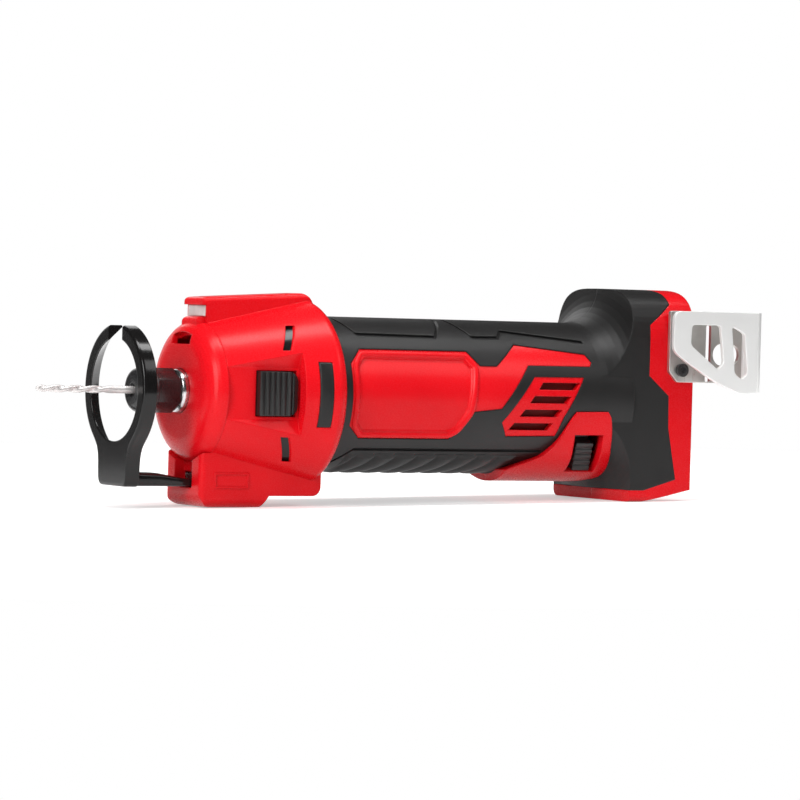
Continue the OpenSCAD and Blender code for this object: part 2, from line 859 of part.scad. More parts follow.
module collet() {
    bore = bit_diameter / 2 + seat_gap;
    nose = collet_nose;
    slit = 0.6;
    slit_length = 10;
    color(steel) difference() {
        turn([
            [bore, stub_front - nose], [socket_root, stub_front - nose],
            [socket_mouth - seat_gap, stub_front], [socket_root - seat_gap, stub_front + socket_length - seat_gap],
            [bore, stub_front + socket_length - seat_gap]
        ]);
        for (a = [0, 90])
            rotate([a, 0, 0]) block([-nut_reach, stub_front + slit_length], [-far, far], [-slit / 2, slit / 2]);
    }
}

module collet_nut() {
    front = -nut_reach;
    shoulder = front + nut_front_length;
    mouth_gap = 1;
    mouth = bit_diameter / 2 + mouth_gap;
    nose_seat = stub_front - collet_nose - seat_gap;
    dome = 3.4;
    rear = -dust_ring_length - nut_gap;
    color(black) union() {
        turn(concat(
            [[mouth, front], [nut_radius - dome, front]],
            arc([nut_radius - dome, front + dome], dome, -90, 0),
            [[nut_radius, shoulder], [stub_radius + seat_gap, shoulder], [stub_radius + seat_gap, stub_front],
             [socket_mouth + seat_gap, stub_front], [socket_root + seat_gap, nose_seat], [mouth, nose_seat]]
        ));
        intersection() {
            tube(shoulder, rear, stub_radius + seat_gap, nut_radius);
            rotate([0, 90, 0]) translate([0, 0, shoulder - overrun])
                cylinder(r = nut_flats / 2 / cos(30), h = rear - shoulder + 2 * overrun, $fn = 6);
        }
    }
}

module cutting_bit() {
    radius = bit_diameter / 2;
    shank_end = stub_front + socket_length;
    tip = -bit_reach;
    flute_share = 0.3;
    points_round = 16;
    turns = 3;
    steps = 48;
    lobes = [for (k = [0:points_round - 1]) let (a = 360 * k / points_round)
        radius * (1 - flute_share * pow(sin(a), 2)) * [cos(a), sin(a)]];
    color(steel) union() {
        translate([tip, 0, 0]) rotate([0, 90, 0])
            linear_extrude(flute_length, twist = -360 * turns, slices = steps) polygon(lobes);
        rod(tip + flute_length, shank_end, radius);
    }
}

module dust_ring() {
    bevel = 0.8;
    color([0.85, 0.86, 0.88]) turn([
        [neck_radius + seat_gap, -dust_ring_length], [dust_ring_radius - bevel, -dust_ring_length],
        [dust_ring_radius, bevel - dust_ring_length], [dust_ring_radius, 0], [neck_radius + seat_gap, 0]
    ]);
}

module lock_collar() {
    holes = 4;
    hole_gap = 0.4;
    hole_radius = lock_pin_radius + hole_gap;
    color(dark_steel) difference() {
        tube(collar_x, collar_x + collar_length, journal_radius + seat_gap, collar_radius);
        for (k = [0:holes - 1])
            rotate([360 * k / holes, 0, 0]) translate([lock_x, 0, journal_radius + ring_wall / 2])
                cylinder(r = hole_radius, h = collar_radius);
    }
}

// one bearing: its rings, and the balls that run between them
module bearing_outer(x, width, radius) {
    tube(x, x + width, radius - ring_wall, radius);
}
module bearing_inner(x, width, radius) {
    tube(x, x + width, radius + seat_gap, radius + ring_wall);
}
module bearing_balls(x, width, inner, outer) {
    ball_gap = 0.08;
    inside = inner + ring_wall;
    outside = outer - ring_wall;
    for (k = [0:ball_count - 1])
        rotate([360 * k / ball_count, 0, 0]) translate([x + width / 2, 0, (inside + outside) / 2])
            sphere(r = (outside - inside) / 2 - ball_gap, $fn = 24);
}

module front_bearing_outer() {
    color(steel) bearing_outer(front_bearing_x, front_bearing_width, front_bearing_radius);
}
module front_bearing_inner() {
    color(steel) bearing_inner(front_bearing_x, front_bearing_width, journal_radius);
}
module front_bearing_balls() {
    color(steel) bearing_balls(front_bearing_x, front_bearing_width, journal_radius, front_bearing_radius);
}
module rear_bearing_outer() {
    color(steel) bearing_outer(rear_bearing_x, rear_bearing_width, rear_bearing_radius);
}
module rear_bearing_inner() {
    color(steel) bearing_inner(rear_bearing_x, rear_bearing_width, tail_radius);
}
module rear_bearing_balls() {
    color(steel) bearing_balls(rear_bearing_x, rear_bearing_width, tail_radius, rear_bearing_radius);
}

module cooling_fan() {
    blades = 11;
    blade = 1.2;
    disc = 1.6;
    hub = 4;
    lean = 22;
    inner = journal_radius + seat_gap;
    color(black) union() {
        tube(fan_x, fan_x + fan_width, inner, inner + hub);
        tube(fan_x + fan_width - disc, fan_x + fan_width, inner, fan_radius);
        intersection() {
            tube(fan_x, fan_x + fan_width, inner + hub / 2, fan_radius);
            for (k = [0:blades - 1])
                rotate([360 * k / blades, 0, 0]) translate([0, 0, inner + hub / 2]) rotate([lean, 0, 0])
                    block([fan_x, fan_x + fan_width], [-blade / 2, blade / 2], [0, fan_radius]);
        }
    }
}

core_slots = 12;
module armature_core() {
    slot = 2.4;
    slot_root_share = 0.62;
    slot_root = armature_radius * slot_root_share;
    color(dark_steel) difference() {
        tube(core_x, core_x + core_length, shaft_radius + seat_gap, armature_radius);
        for (k = [0:core_slots - 1])
            rotate([360 * k / core_slots, 0, 0])
                block([core_x - overrun, core_x + core_length + overrun], [-slot / 2, slot / 2], [slot_root, far]);
    }
}

module armature_windings() {
    inner = shaft_radius + seat_gap;
    inset = 2;
    round = 2.4;
    outer = armature_radius - inset;
    front = core_x - winding_front;
    rear = core_x + core_length + winding_rear;
    color(copper) union() {
        turn(concat([[inner, core_x], [inner, front]], arc([outer - round, front + round], round, -90, 0),
            [[outer, core_x]]));
        turn(concat([[inner, core_x + core_length], [outer, core_x + core_length]],
            arc([outer - round, rear - round], round, 0, 90), [[inner, rear]]));
    }
}

module commutator() {
    slit = 0.6;
    slit_depth = 1.4;
    color(copper) difference() {
        tube(commutator_x, commutator_x + commutator_length, shaft_radius + seat_gap, commutator_radius);
        for (k = [0:core_slots - 1])
            rotate([360 * (k + 0.5) / core_slots, 0, 0])
                block([commutator_x - overrun, commutator_x + commutator_length + overrun],
                    [-slit / 2, slit / 2], [commutator_radius - slit_depth, far]);
    }
}

module motor_can() {
    end_gap = 3;
    end_hole = journal_radius + end_gap;
    color(steel) turn([
        [end_hole, motor_front], [motor_radius, motor_front], [motor_radius, motor_front + motor_length],
        [motor_radius - motor_wall, motor_front + motor_length], [motor_radius - motor_wall, motor_front + motor_wall],
        [end_hole, motor_front + motor_wall]
    ]);
}

module motor_magnets() {
    span = 130;
    outer = motor_radius - motor_wall - seat_gap;
    air_gap = 0.6;
    overhang = 2;
    inner = armature_radius + air_gap;
    color([0.3, 0.3, 0.32])
        for (side = [0, 180])
            rotate([side, 0, 0]) rotate([0, 90, 0]) rotate([0, 0, -span / 2])
                rotate_extrude(angle = span) polygon([
                    [inner, core_x - overhang], [outer, core_x - overhang],
                    [outer, core_x + core_length + overhang], [inner, core_x + core_length + overhang]
                ]);
}

brush_x = commutator_x + commutator_length / 2;
brush_width = 5;
brush_half = 3;
brush_top = 18;
cap_thickness = 3.4;
brush_cap = shell_inner - cap_thickness;
module brush_carrier() {
    sleeve = 1.6;
    ring_gap = 2;
    sleeve_gap = 1.5;
    ring_inner = brush_top + ring_gap;
    ring_length = 11;
    half = brush_half + sleeve;
    color(black) difference() {
        union() {
            tube(brush_x - ring_length / 2, brush_x + ring_length / 2, ring_inner, shell_inner - seat_gap);
            for (side = [0, 180])
                rotate([side, 0, 0]) block([brush_x - brush_width / 2 - sleeve, brush_x + brush_width / 2 + sleeve],
                    [-half, half], [commutator_radius + sleeve_gap, ring_inner + overrun]);
        }
        for (side = [0, 180])
            rotate([side, 0, 0]) block([brush_x - brush_width / 2 - seat_gap, brush_x + brush_width / 2 + seat_gap],
                [-brush_half - seat_gap, brush_half + seat_gap], [0, brush_cap]);
    }
}

module carbon_brushes() {
    run_gap = 0.1;
    color([0.15, 0.15, 0.16]) difference() {
        for (side = [0, 180])
            rotate([side, 0, 0]) block([brush_x - brush_width / 2, brush_x + brush_width / 2],
                [-brush_half, brush_half], [0, brush_top]);
        rod(0, far, commutator_radius + run_gap);
    }
}

module brush_springs() {
    radius = 1.8;
    wire = 0.3;
    turns = 4;
    gap = 0.1;
    color(steel)
        for (side = [0, 180])
            rotate([side, 0, 0]) translate([brush_x, 0, brush_top + gap])
                coil(radius, wire, brush_cap - brush_top - 2 * gap, turns);
}

// where the foot's underside starts to rise, and where its round top starts
rise_start_share = 0.22;
foot_shoulder = 20;
foot_edge = 3;
// outline of the foot in the end view: flat sides and floor, full round top
function foot_outline(inset) =
    let (half = foot_width / 2 - inset, low = inset - foot_bottom, mid = foot_shoulder, high = foot_top - inset - mid,
         corner = foot_edge, fullness = 3.5, steps = 4 * arc_steps)
        concat(
            [for (k = [0:steps]) let (a = 180 * k / steps, c = cos(a), s = sin(a))
                [half * sign(c) * pow(abs(c), 2 / fullness), mid + high * pow(s, 2 / fullness)]],
            arc([corner - half, low + corner], corner, 180, 270, arc_steps / 2),
            arc([half - corner, low + corner], corner, 270, 360, arc_steps / 2)
        );

module foot_prism(from, to, inset) {
    difference() {
        end_plate(foot_outline(inset), from, to);
        side_plate([
            [foot_front + foot_length * rise_start_share, inset - foot_bottom], [foot_rear + overrun, inset - foot_bottom + foot_rise],
            [foot_rear + overrun, -far], [foot_front + foot_length * rise_start_share, -far]
        ], -foot_width, foot_width);
    }
}

// the part of the foot that stays red: behind the chevron line, and the rim below
module red_region(gap) {
    line = outline(chevron_shares, foot_front + gap, foot_length, foot_top);
    rim_top = rim_height - foot_bottom;
    side_plate(concat(line, [
        [foot_front + foot_length * rise_start_share, rim_top - gap], [blend_front, rim_top - gap],
        [blend_front, -far], [far, -far], [far, far], [line[0][0], far]
    ]), -foot_width, foot_width);
}

// hollow blend from the handle up to the foot's front face
module foot_fillet() {
    intersection() {
        turn(concat(
            [[0, blend_front], [handle_radius, blend_front]],
            [for (k = [1:arc_steps]) let (a = 90 * k / arc_steps)
                [handle_radius + foot_blend * (1 - cos(a)), blend_front + foot_blend * sin(a)]],
            [[0, foot_front]]
        ));
        union() {
            foot_prism(blend_front, foot_front, 0);
            rod(blend_front, foot_front, handle_radius);
        }
    }
}

module switch_frame() {
    translate([switch_station, 0, -bulge_drop]) rotate([switch_angle, 0, 0]) children();
}

// a block in the switch's own frame that leans with the window
module leaning_block(half, from, to, low, high) {
    lean = switch_lean_share;
    side_plate([
        [lean * low - half, low], [lean * low + half, low], [lean * high + half, high], [lean * high - half, high]
    ], from, to);
}

module panels(grow, radius) {
    intersection() {
        tube(panel_front - overrun, foot_front, shell_radius - overrun, radius);
        union() {
            side_plate(outline(panel_shares, panel_front - grow, panel_length + 2 * grow, panel_height + grow), -far, 0);
            side_plate(outline(vent_shares, vent_front - grow, vent_length + 2 * grow, vent_height + grow), -far, 0);
        }
    }
}

module bulge(grow, radius) {
    intersection() {
        translate([0, 0, -bulge_drop]) rod(bulge_front - overrun, bulge_front + bulge_length + overrun, radius);
        side_plate(outline(bulge_shares, bulge_front - grow, bulge_length + 2 * grow, bulge_height), -far, 0);
    }
}

module vent_cuts() {
    for (k = [0:vent_slots - 1]) {
        x = vent_first[0] - k * vent_slot_lean;
        z = vent_first[1] - k * vent_slot_pitch;
        lean = vent_slot_lean * vent_slot_height / vent_slot_pitch;
        side_plate([
            [x, z], [x + vent_slot_length, z],
            [x + vent_slot_length + lean, z + vent_slot_height], [x + lean, z + vent_slot_height]
        ], -far, -shell_radius / 2);
    }
}

slider_half = slider_width / 2;
window_low = -slider_length + slider_travel - fit_gap;
window_high = slider_travel + slider_travel + fit_gap;
module switch_window() {
    switch_frame() leaning_block(slider_half + fit_gap, -far, -bulge_inner / 2, window_low, window_high);
}

screw_radius = 1.7;
screw_head_radius = 3.2;
screw_head = 2.4;
boss_radius = 4;
// places of the clamshell screws in the side view
screw_inset = 8;
screw_setback = 5;
foot_screw_inset = 12;
rear_screw_offset = 14;
foot_screw_setback = 8;
neck_screw_setback = 1;
screw_places = [
    [tail_end + screw_setback, shell_inner - screw_inset], [tail_end + screw_setback, screw_inset - shell_inner],
    [switch_station + rear_screw_offset, shell_inner - screw_inset],
    [core_front + foot_screw_setback, foot_top - foot_screw_inset],
    [core_front + foot_screw_setback, foot_screw_inset + neck_screw_setback - foot_bottom],
    [foot_front + neck_screw_setback, 0]
];
screw_depth = 12;
head_seat = 12;

module screw_bosses() {
    intersection() {
        for (p = screw_places)
            translate([p[0], 0, p[1]]) rotate([90, 0, 0]) cylinder(r = boss_radius, h = foot_width);
        union() {
            rod(shell_front, core_front + overrun, shell_radius);
            foot_prism(core_front, foot_rear, grip_thickness);
        }
    }
}

// what both halves share, drawn for the near half
module shell_half() {
    rib = 2.4;
    rib_setback = 3;
    near_half() difference() {
        union() {
            difference() {
                union() {
                    rod(shell_front, core_front + overrun, shell_radius);
                    panels(0, panel_radius);
                    bulge(0, bulge_radius);
                    foot_prism(core_front, foot_rear, grip_thickness);
                    intersection() {
                        foot_prism(foot_front, foot_rear, 0);
                        red_region(0);
                    }
                }
                rod(shell_front - overrun, core_front + 2 * overrun, shell_inner);
                bulge(-shell_wall, bulge_inner);
                foot_prism(core_front + shell_wall, bay_floor - shell_wall, grip_thickness + shell_wall);
            }
            for (x = [motor_front + rib_setback, motor_front + motor_length - rib_setback - rib])
                tube(x, x + rib, motor_radius + seat_gap, shell_inner + seat_gap);
            tube(rear_bearing_x, rear_bearing_x + rear_bearing_width, rear_bearing_radius + seat_gap,
                shell_inner + seat_gap);
        }
        intersection() {
            tube(panel_front, panel_front + panel_length, panel_radius - badge_recess, handle_radius + overrun);
            side_plate(outline(badge_shares, panel_front, panel_length, panel_height), -far, 0);
        }
        vent_cuts();
        battery_bay();
    }
}

module battery_bay() {
    block([bay_floor, foot_rear - rail_thickness], [-bay_width / 2, bay_width / 2], [-far, bay_top]);
    block([bay_floor, foot_rear + overrun], [-bay_mouth / 2, bay_mouth / 2], [-far, bay_top]);
}

hook_side = -foot_width / 2;
hook_screw_inset = 7.6;
hook_screw_height = 13.3;
hook_screw_place = [foot_rear - hook_screw_inset, hook_screw_height];
hook_screw_radius = 1.6;
module left_shell() {
    color(red) difference() {
        union() {
            shell_half();
            screw_bosses();
        }
        for (p = screw_places)
            translate([p[0], overrun, p[1]]) rotate([90, 0, 0])
                cylinder(r = screw_radius + seat_gap, h = screw_depth + overrun);
        switch_window();
        translate([hook_screw_place[0], hook_side - overrun, hook_screw_place[1]]) rotate([-90, 0, 0])
            cylinder(r = hook_screw_radius + seat_gap, h = bay_width / 6 + overrun);
    }
}

module right_shell() {
    color(red) difference() {
        union() {
            mirror([0, 1, 0]) shell_half();
            mirror([0, 1, 0]) screw_bosses();
        }
        for (p = screw_places) {
            translate([p[0], -overrun, p[1]]) rotate([-90, 0, 0]) cylinder(r = screw_radius + seat_gap, h = far);
            translate([p[0], head_seat, p[1]]) rotate([-90, 0, 0]) cylinder(r = screw_head_radius + seat_gap, h = far);
        }
    }
}

// a narrow band along a line of points in the side view
function band(points, width) = concat(
    [for (p = points) p + [0, width / 2]],
    [for (k = [len(points) - 1:-1:0]) points[k] - [0, width / 2]]
);

// the lines that frame the top pads and the ribs
module grip_lines() {
    intersection() {
        tube(grip_front, blend_front, handle_radius - pad_line_depth, handle_radius + overrun);
        for (shares = concat(pad_line_shares, [rib_line_shares]))
            side_plate(band(outline(shares, panel_front, panel_length, handle_radius), pad_line), -far, 0);
    }
}

// the rubber of the near half
module grip_half() {
    ribs = 9;
    rib_setback = 10;
    rib_start = panel_front + rib_setback;
    rib_slant = 24;
    rib_line_share = 0.76;
    rib_line = -handle_radius * rib_line_share;
    near_half() difference() {
        union() {
            difference() {
                rod(grip_front, blend_front + overrun, handle_radius);
                panels(seat_gap, handle_radius + overrun);
            }
            difference() {
                union() {
                    foot_fillet();
                    foot_prism(foot_front, foot_rear, 0);
                }
                red_region(0);
                panels(seat_gap, handle_radius + overrun);
            }
        }
        rod(0, core_front + 2 * overrun, shell_radius + seat_gap);
        bulge(seat_gap, bulge_radius + overrun);
        foot_prism(core_front - seat_gap, foot_rear + overrun, grip_thickness - seat_gap);
        grip_lines();
        intersection() {
            block([grip_front, bulge_front], [-far, far], [-far, rib_line]);
            for (k = [0:ribs - 1])
                translate([rib_start + k * rib_pitch, 0, 0]) rotate([0, 0, rib_slant])
                    tube(-rib_groove / 2, rib_groove / 2, handle_radius - rib_depth, handle_radius + 2 * overrun);
        }
    }
}

module left_grip() {
    color(dark_rubber) grip_half();
}

module right_grip() {
    color(dark_rubber) difference() {
        mirror([0, 1, 0]) grip_half();
        for (p = screw_places)
            translate([p[0], 0, p[1]]) rotate([-90, 0, 0]) cylinder(r = screw_head_radius + seat_gap, h = far);
    }
}

module shell_screws() {
    socket = 1.5;
    socket_depth = 1.4;
    color(steel)
        for (p = screw_places)
            translate([p[0], 0, p[1]]) rotate([-90, 0, 0]) difference() {
                union() {
                    translate([0, 0, fit_gap - screw_depth + overrun])
                        cylinder(r = screw_radius, h = head_seat + screw_depth - overrun);
                    translate([0, 0, head_seat]) cylinder(r = screw_head_radius, h = screw_head);
                }
                translate([0, 0, head_seat + screw_head - socket_depth])
                    cylinder(r = socket, h = socket_depth + overrun, $fn = 6);
            }
}

// how deep the slider's flange lies under the bulge, as a share of its inner radius
flange_share = 0.86;
module switch_slider() {
    face_raise = 0.8;
    face = bulge_inner + face_raise;
    flange_top = bulge_inner * flange_share;
    grooves = 4;
    groove = 0.9;
    low = window_low + fit_gap;
    high = low + slider_length;
    pitch = slider_length / (grooves + 1);
    color(black) switch_frame() difference() {
        union() {
            leaning_block(slider_half, -face, -flange_top + overrun, low, high);
            leaning_block(slider_half + overrun, -flange_top, -flange_top + flange_thickness,
                low - overrun, high + overrun);
        }
        for (k = [1:grooves])
            leaning_block(far, -face - overrun, -face + groove / 2,
                low + k * pitch - groove / 2, low + k * pitch + groove / 2);
    }
}

module switch_body() {
    top = bulge_inner * flange_share - flange_thickness - fit_gap;
    depth = 14;
    half = 9;
    low = window_low;
    high = low + slider_length + slider_travel;
    prongs = 2;
    prong = 1.2;
    prong_length = 5;
    color(black) switch_frame() union() {
        block([-half, half], [-top, depth - top], [low, high]);
        for (k = [0:prongs - 1])
            block([(k - 0.5) * half - prong / 2, (k - 0.5) * half + prong / 2],
                [depth - top - overrun, depth - top + prong_length], [low + prong, low + 4 * prong]);
    }
}

module control_board() {
    side_gap = 4;
    half = foot_width / 2 - grip_thickness - shell_wall - side_gap;
    low = -26;
    high = 26;
    chip = 7;
    chip_height = 2.4;
    cap_radius = 4;
    cap_height = 4.2;
    color(board_green) union() {
        block([bay_floor - shell_wall - board_thickness, bay_floor - shell_wall], [-half, half], [low, high]);
        for (k = [-1, 1])
            translate([0, k * half / 2, high / 3])
                block([bay_floor - shell_wall - board_thickness - chip_height, bay_floor - shell_wall - board_thickness],
                    [-chip / 2, chip / 2], [0, chip]);
        for (k = [-1, 1])
            translate([bay_floor - shell_wall - board_thickness - cap_height, k * half / 3, low / 2])
                rotate([0, 90, 0]) cylinder(r = cap_radius, h = cap_height);
    }
}

terminal_half = 10;
terminal_length = 8.2;
terminal_low = -2;
terminal_high = 24;
blade_count = 4;
blade_slot = 2.4;
blade_pitch = 2 * terminal_half / blade_count;
terminal_wall = 1.6;
module terminal_block() {
    color(black) difference() {
        block([bay_floor, bay_floor + terminal_length], [-terminal_half, terminal_half], [terminal_low, terminal_high]);
        for (k = [0:blade_count - 1])
            translate([0, (k - (blade_count - 1) / 2) * blade_pitch, 0])
                block([bay_floor + terminal_wall, far], [-blade_slot / 2, blade_slot / 2],
                    [terminal_low - overrun, terminal_high - terminal_wall]);
    }
}

module terminal_blades() {
    blade = 0.8;
    length = 6;
    blade_inset = 3;
    low = terminal_low + blade_inset;
    color(copper)
        for (k = [0:blade_count - 1])
            translate([0, (k - (blade_count - 1) / 2) * blade_pitch, 0])
                block([bay_floor + terminal_wall, bay_floor + terminal_wall + length], [-blade / 2, blade / 2],
                    [low, terminal_high - terminal_wall]);
}

// the hook: one sheet bent square twice, with its free leg on the near side
hook_front = foot_front + foot_length - hook_overlap;
hook_end = foot_rear + hook_reach;
hook_length = hook_end - hook_front;
hook_low = hook_top - hook_height;
hook_outside = hook_side - hook_gap - 2 * hook_sheet;
module hook_bend() {
    bend = 3;
    inner = bend - hook_sheet / 2;
    outer_path = concat(
        [[hook_front, hook_outside]],
        arc([hook_end - bend, hook_outside + bend], bend, -90, 0),
        arc([hook_end - bend, hook_side - bend], bend, 0, 90),
        [[hook_front, hook_side], [hook_front, hook_side - hook_sheet]]
    );
    inner_path = concat(
        arc([hook_end - hook_sheet - inner, hook_side - hook_sheet - inner], inner, 90, 0),
        arc([hook_end - hook_sheet - inner, hook_outside + hook_sheet + inner], inner, 0, -90),
        [[hook_front, hook_outside + hook_sheet]]
    );
    translate([0, 0, hook_low]) linear_extrude(hook_height) polygon(concat(outer_path, inner_path));
}

module hook_leg(shares, from, to) {
    side_plate(outline(shares, hook_front, hook_length, hook_height, hook_low), from, to);
}

module belt_hook() {
    middle = (hook_side + hook_outside) / 2;
    slot_setback = 5;
    slot_x = foot_rear + slot_setback;
    slot_width = 2.6;
    eye_setback = 17.6;
    eye_x = foot_rear + eye_setback;
    eye_z = 20.4;
    eye_radius = 4.8;
    eye_half = 2;
    color([0.8, 0.8, 0.78]) difference() {
        intersection() {
            hook_bend();
            union() {
                hook_leg(hook_near_shares, hook_outside - overrun, middle);
                hook_leg(hook_far_shares, middle, hook_side + overrun);
                hook_leg(hook_end_shares, middle - hook_gap / 2, middle + hook_gap / 2);
            }
        }
        hook_leg(hook_window_shares, hook_outside - overrun, middle);
        hook_leg(hook_slit_shares, hook_outside - overrun, middle);
        block([slot_x, slot_x + slot_width], [middle, hook_side + overrun], [-far, hook_top - 3 * hook_sheet]);
        for (k = [-1, 1])
            translate([eye_x + k * eye_half, hook_side + overrun, eye_z]) rotate([90, 0, 0])
                cylinder(r = eye_radius, h = hook_sheet + 2 * overrun);
        block([eye_x - eye_half, eye_x + eye_half], [middle, hook_side + overrun],
            [eye_z - eye_radius, eye_z + eye_radius]);
        translate([hook_screw_place[0], hook_side + overrun, hook_screw_place[1]]) rotate([90, 0, 0])
            cylinder(r = hook_screw_radius + seat_gap, h = hook_sheet + 2 * overrun);
    }
}

module hook_screw() {
    head_radius = 2.9;
    head = 1.6;
    socket = 1.6;
    socket_depth = 1.1;
    color(steel) translate([hook_screw_place[0], hook_side - hook_sheet, hook_screw_place[1]]) rotate([90, 0, 0])
        difference() {
            union() {
                cylinder(r = head_radius, h = head);
                translate([0, 0, -hook_sheet - bay_width / 6 + overrun])
                    cylinder(r = hook_screw_radius, h = hook_sheet + bay_width / 6);
            }
            translate([0, 0, head - socket_depth]) cylinder(r = socket, h = socket_depth + overrun, $fn = 6);
        }
}

nose_housing();
nose_cap();
light_lens();
light_board();
side_bumpers();
lock_button();
lock_pin();
lock_spring();
lock_guide();
depth_guide();
guide_spring();
spindle();
collet();
collet_nut();
cutting_bit();
dust_ring();
lock_collar();
front_bearing_outer();
front_bearing_inner();
front_bearing_balls();
rear_bearing_outer();
rear_bearing_inner();
rear_bearing_balls();
cooling_fan();
armature_core();
armature_windings();
commutator();
motor_can();
motor_magnets();
brush_carrier();
carbon_brushes();
brush_springs();
left_shell();
right_shell();
left_grip();
right_grip();
shell_screws();
switch_slider();
switch_body();
control_board();
terminal_block();
terminal_blades();
belt_hook();
hook_screw();
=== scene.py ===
import json
import math

import bmesh
import bpy
import numpy as np
from mathutils import Matrix, Vector


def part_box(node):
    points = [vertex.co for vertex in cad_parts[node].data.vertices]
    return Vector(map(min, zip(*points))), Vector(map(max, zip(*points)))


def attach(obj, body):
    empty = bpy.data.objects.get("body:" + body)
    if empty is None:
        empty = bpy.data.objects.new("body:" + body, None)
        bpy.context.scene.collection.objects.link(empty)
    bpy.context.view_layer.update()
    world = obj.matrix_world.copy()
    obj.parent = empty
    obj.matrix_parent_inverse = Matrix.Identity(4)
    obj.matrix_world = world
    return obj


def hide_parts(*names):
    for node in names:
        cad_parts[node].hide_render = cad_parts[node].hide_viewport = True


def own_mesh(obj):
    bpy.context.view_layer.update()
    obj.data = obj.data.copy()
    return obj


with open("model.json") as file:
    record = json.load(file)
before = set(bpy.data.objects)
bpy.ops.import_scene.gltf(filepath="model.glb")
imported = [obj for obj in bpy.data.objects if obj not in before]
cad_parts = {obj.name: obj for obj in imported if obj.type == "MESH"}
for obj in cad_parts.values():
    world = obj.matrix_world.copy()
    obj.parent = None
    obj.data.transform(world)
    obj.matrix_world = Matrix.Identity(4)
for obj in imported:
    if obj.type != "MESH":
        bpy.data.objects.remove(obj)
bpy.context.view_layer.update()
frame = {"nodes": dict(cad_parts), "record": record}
nodes = frame["nodes"]
print("frame loaded", len(nodes), "nodes")

mm = 0.001
joinSize = 2e-6  # points of a CAD mesh closer than this, in metres, are one point
mergeSize = 1e-6  # the same for the grids made here

# finishes: every pattern reads Object coordinates, in metres
patternSettings = dict(driftDetail=2.0, grainDetail=4.0, grainRough=0.55, stainDetail=3.0, streakDetail=5.0,
                       streakRough=0.65, rampLow=0.3, rampHigh=0.7, edgeSamples=6)


def newFinish(name, s):
    finish = bpy.data.materials.new(name)
    finish.use_nodes = True
    tree = finish.node_tree
    shader = tree.nodes["Principled BSDF"]
    shader.inputs["Metallic"].default_value = s.get("metal", 0.0)
    shader.inputs["Specular IOR Level"].default_value = s.get("specular", 0.5)
    shader.inputs["Coat Weight"].default_value = s.get("coat", 0.0)
    shader.inputs["Coat Roughness"].default_value = s.get("coatRough", 0.25)
    return finish, tree, shader


def objectPoint(tree, scale=(1, 1, 1)):
    coord = tree.nodes.new("ShaderNodeTexCoord")
    mapping = tree.nodes.new("ShaderNodeMapping")
    mapping.inputs["Scale"].default_value = scale
    tree.links.new(coord.outputs["Object"], mapping.inputs["Vector"])
    return mapping.outputs["Vector"]


def noiseField(tree, vector, scale, detail, rough=patternSettings["grainRough"]):
    noise = tree.nodes.new("ShaderNodeTexNoise")
    noise.inputs["Scale"].default_value = scale
    noise.inputs["Detail"].default_value = detail
    noise.inputs["Roughness"].default_value = rough
    tree.links.new(vector, noise.inputs["Vector"])
    return noise.outputs["Fac"]


def rampOf(tree, fac, low, high):
    ramp = tree.nodes.new("ShaderNodeValToRGB")
    ends = ramp.color_ramp.elements
    ends[0].position, ends[1].position = patternSettings["rampLow"], patternSettings["rampHigh"]
    ends[0].color, ends[1].color = (*low, 1), (*high, 1)
    tree.links.new(fac, ramp.inputs["Fac"])
    return ramp.outputs["Color"]


def surfaceDetail(tree, shader, s, colourField, grainField):
    # colour drifts with one field; roughness and bump follow the other, over softly rounded edges
    tree.links.new(rampOf(tree, colourField, s["dark"], s["light"]), shader.inputs["Base Color"])
    low, high = s["rough"] - s["roughSpread"], s["rough"] + s["roughSpread"]
    tree.links.new(rampOf(tree, grainField, (low,) * 3, (high,) * 3), shader.inputs["Roughness"])
    edge = tree.nodes.new("ShaderNodeBevel")
    edge.samples = patternSettings["edgeSamples"]
    edge.inputs["Radius"].default_value = s["edge"]
    bump = tree.nodes.new("ShaderNodeBump")
    bump.inputs["Strength"].default_value = s["grainBump"]
    bump.inputs["Distance"].default_value = s["grainDepth"]
    tree.links.new(grainField, bump.inputs["Height"])
    tree.links.new(edge.outputs["Normal"], bump.inputs["Normal"])
    tree.links.new(bump.outputs["Normal"], shader.inputs["Normal"])


# moulded or cast: slow colour drift, fine grain in roughness and bump
def mouldedFinish(name, s):
    finish, tree, shader = newFinish(name, s)
    point = objectPoint(tree)
    drift = noiseField(tree, point, s["driftScale"], patternSettings["driftDetail"])
    grain = noiseField(tree, point, s["grainScale"], patternSettings["grainDetail"])
    surfaceDetail(tree, shader, s, drift, grain)
    return finish


# ground or brushed metal: streaks drawn out along one axis, faint stains
def brushedFinish(name, s):
    finish, tree, shader = newFinish(name, s)
    p = patternSettings
    drawnOut = objectPoint(tree, s["streak"])
    streak = noiseField(tree, drawnOut, s["streakScale"], p["streakDetail"], p["streakRough"])
    stain = noiseField(tree, objectPoint(tree), s["driftScale"], p["stainDetail"])
    surfaceDetail(tree, shader, s, stain, streak)
    return finish


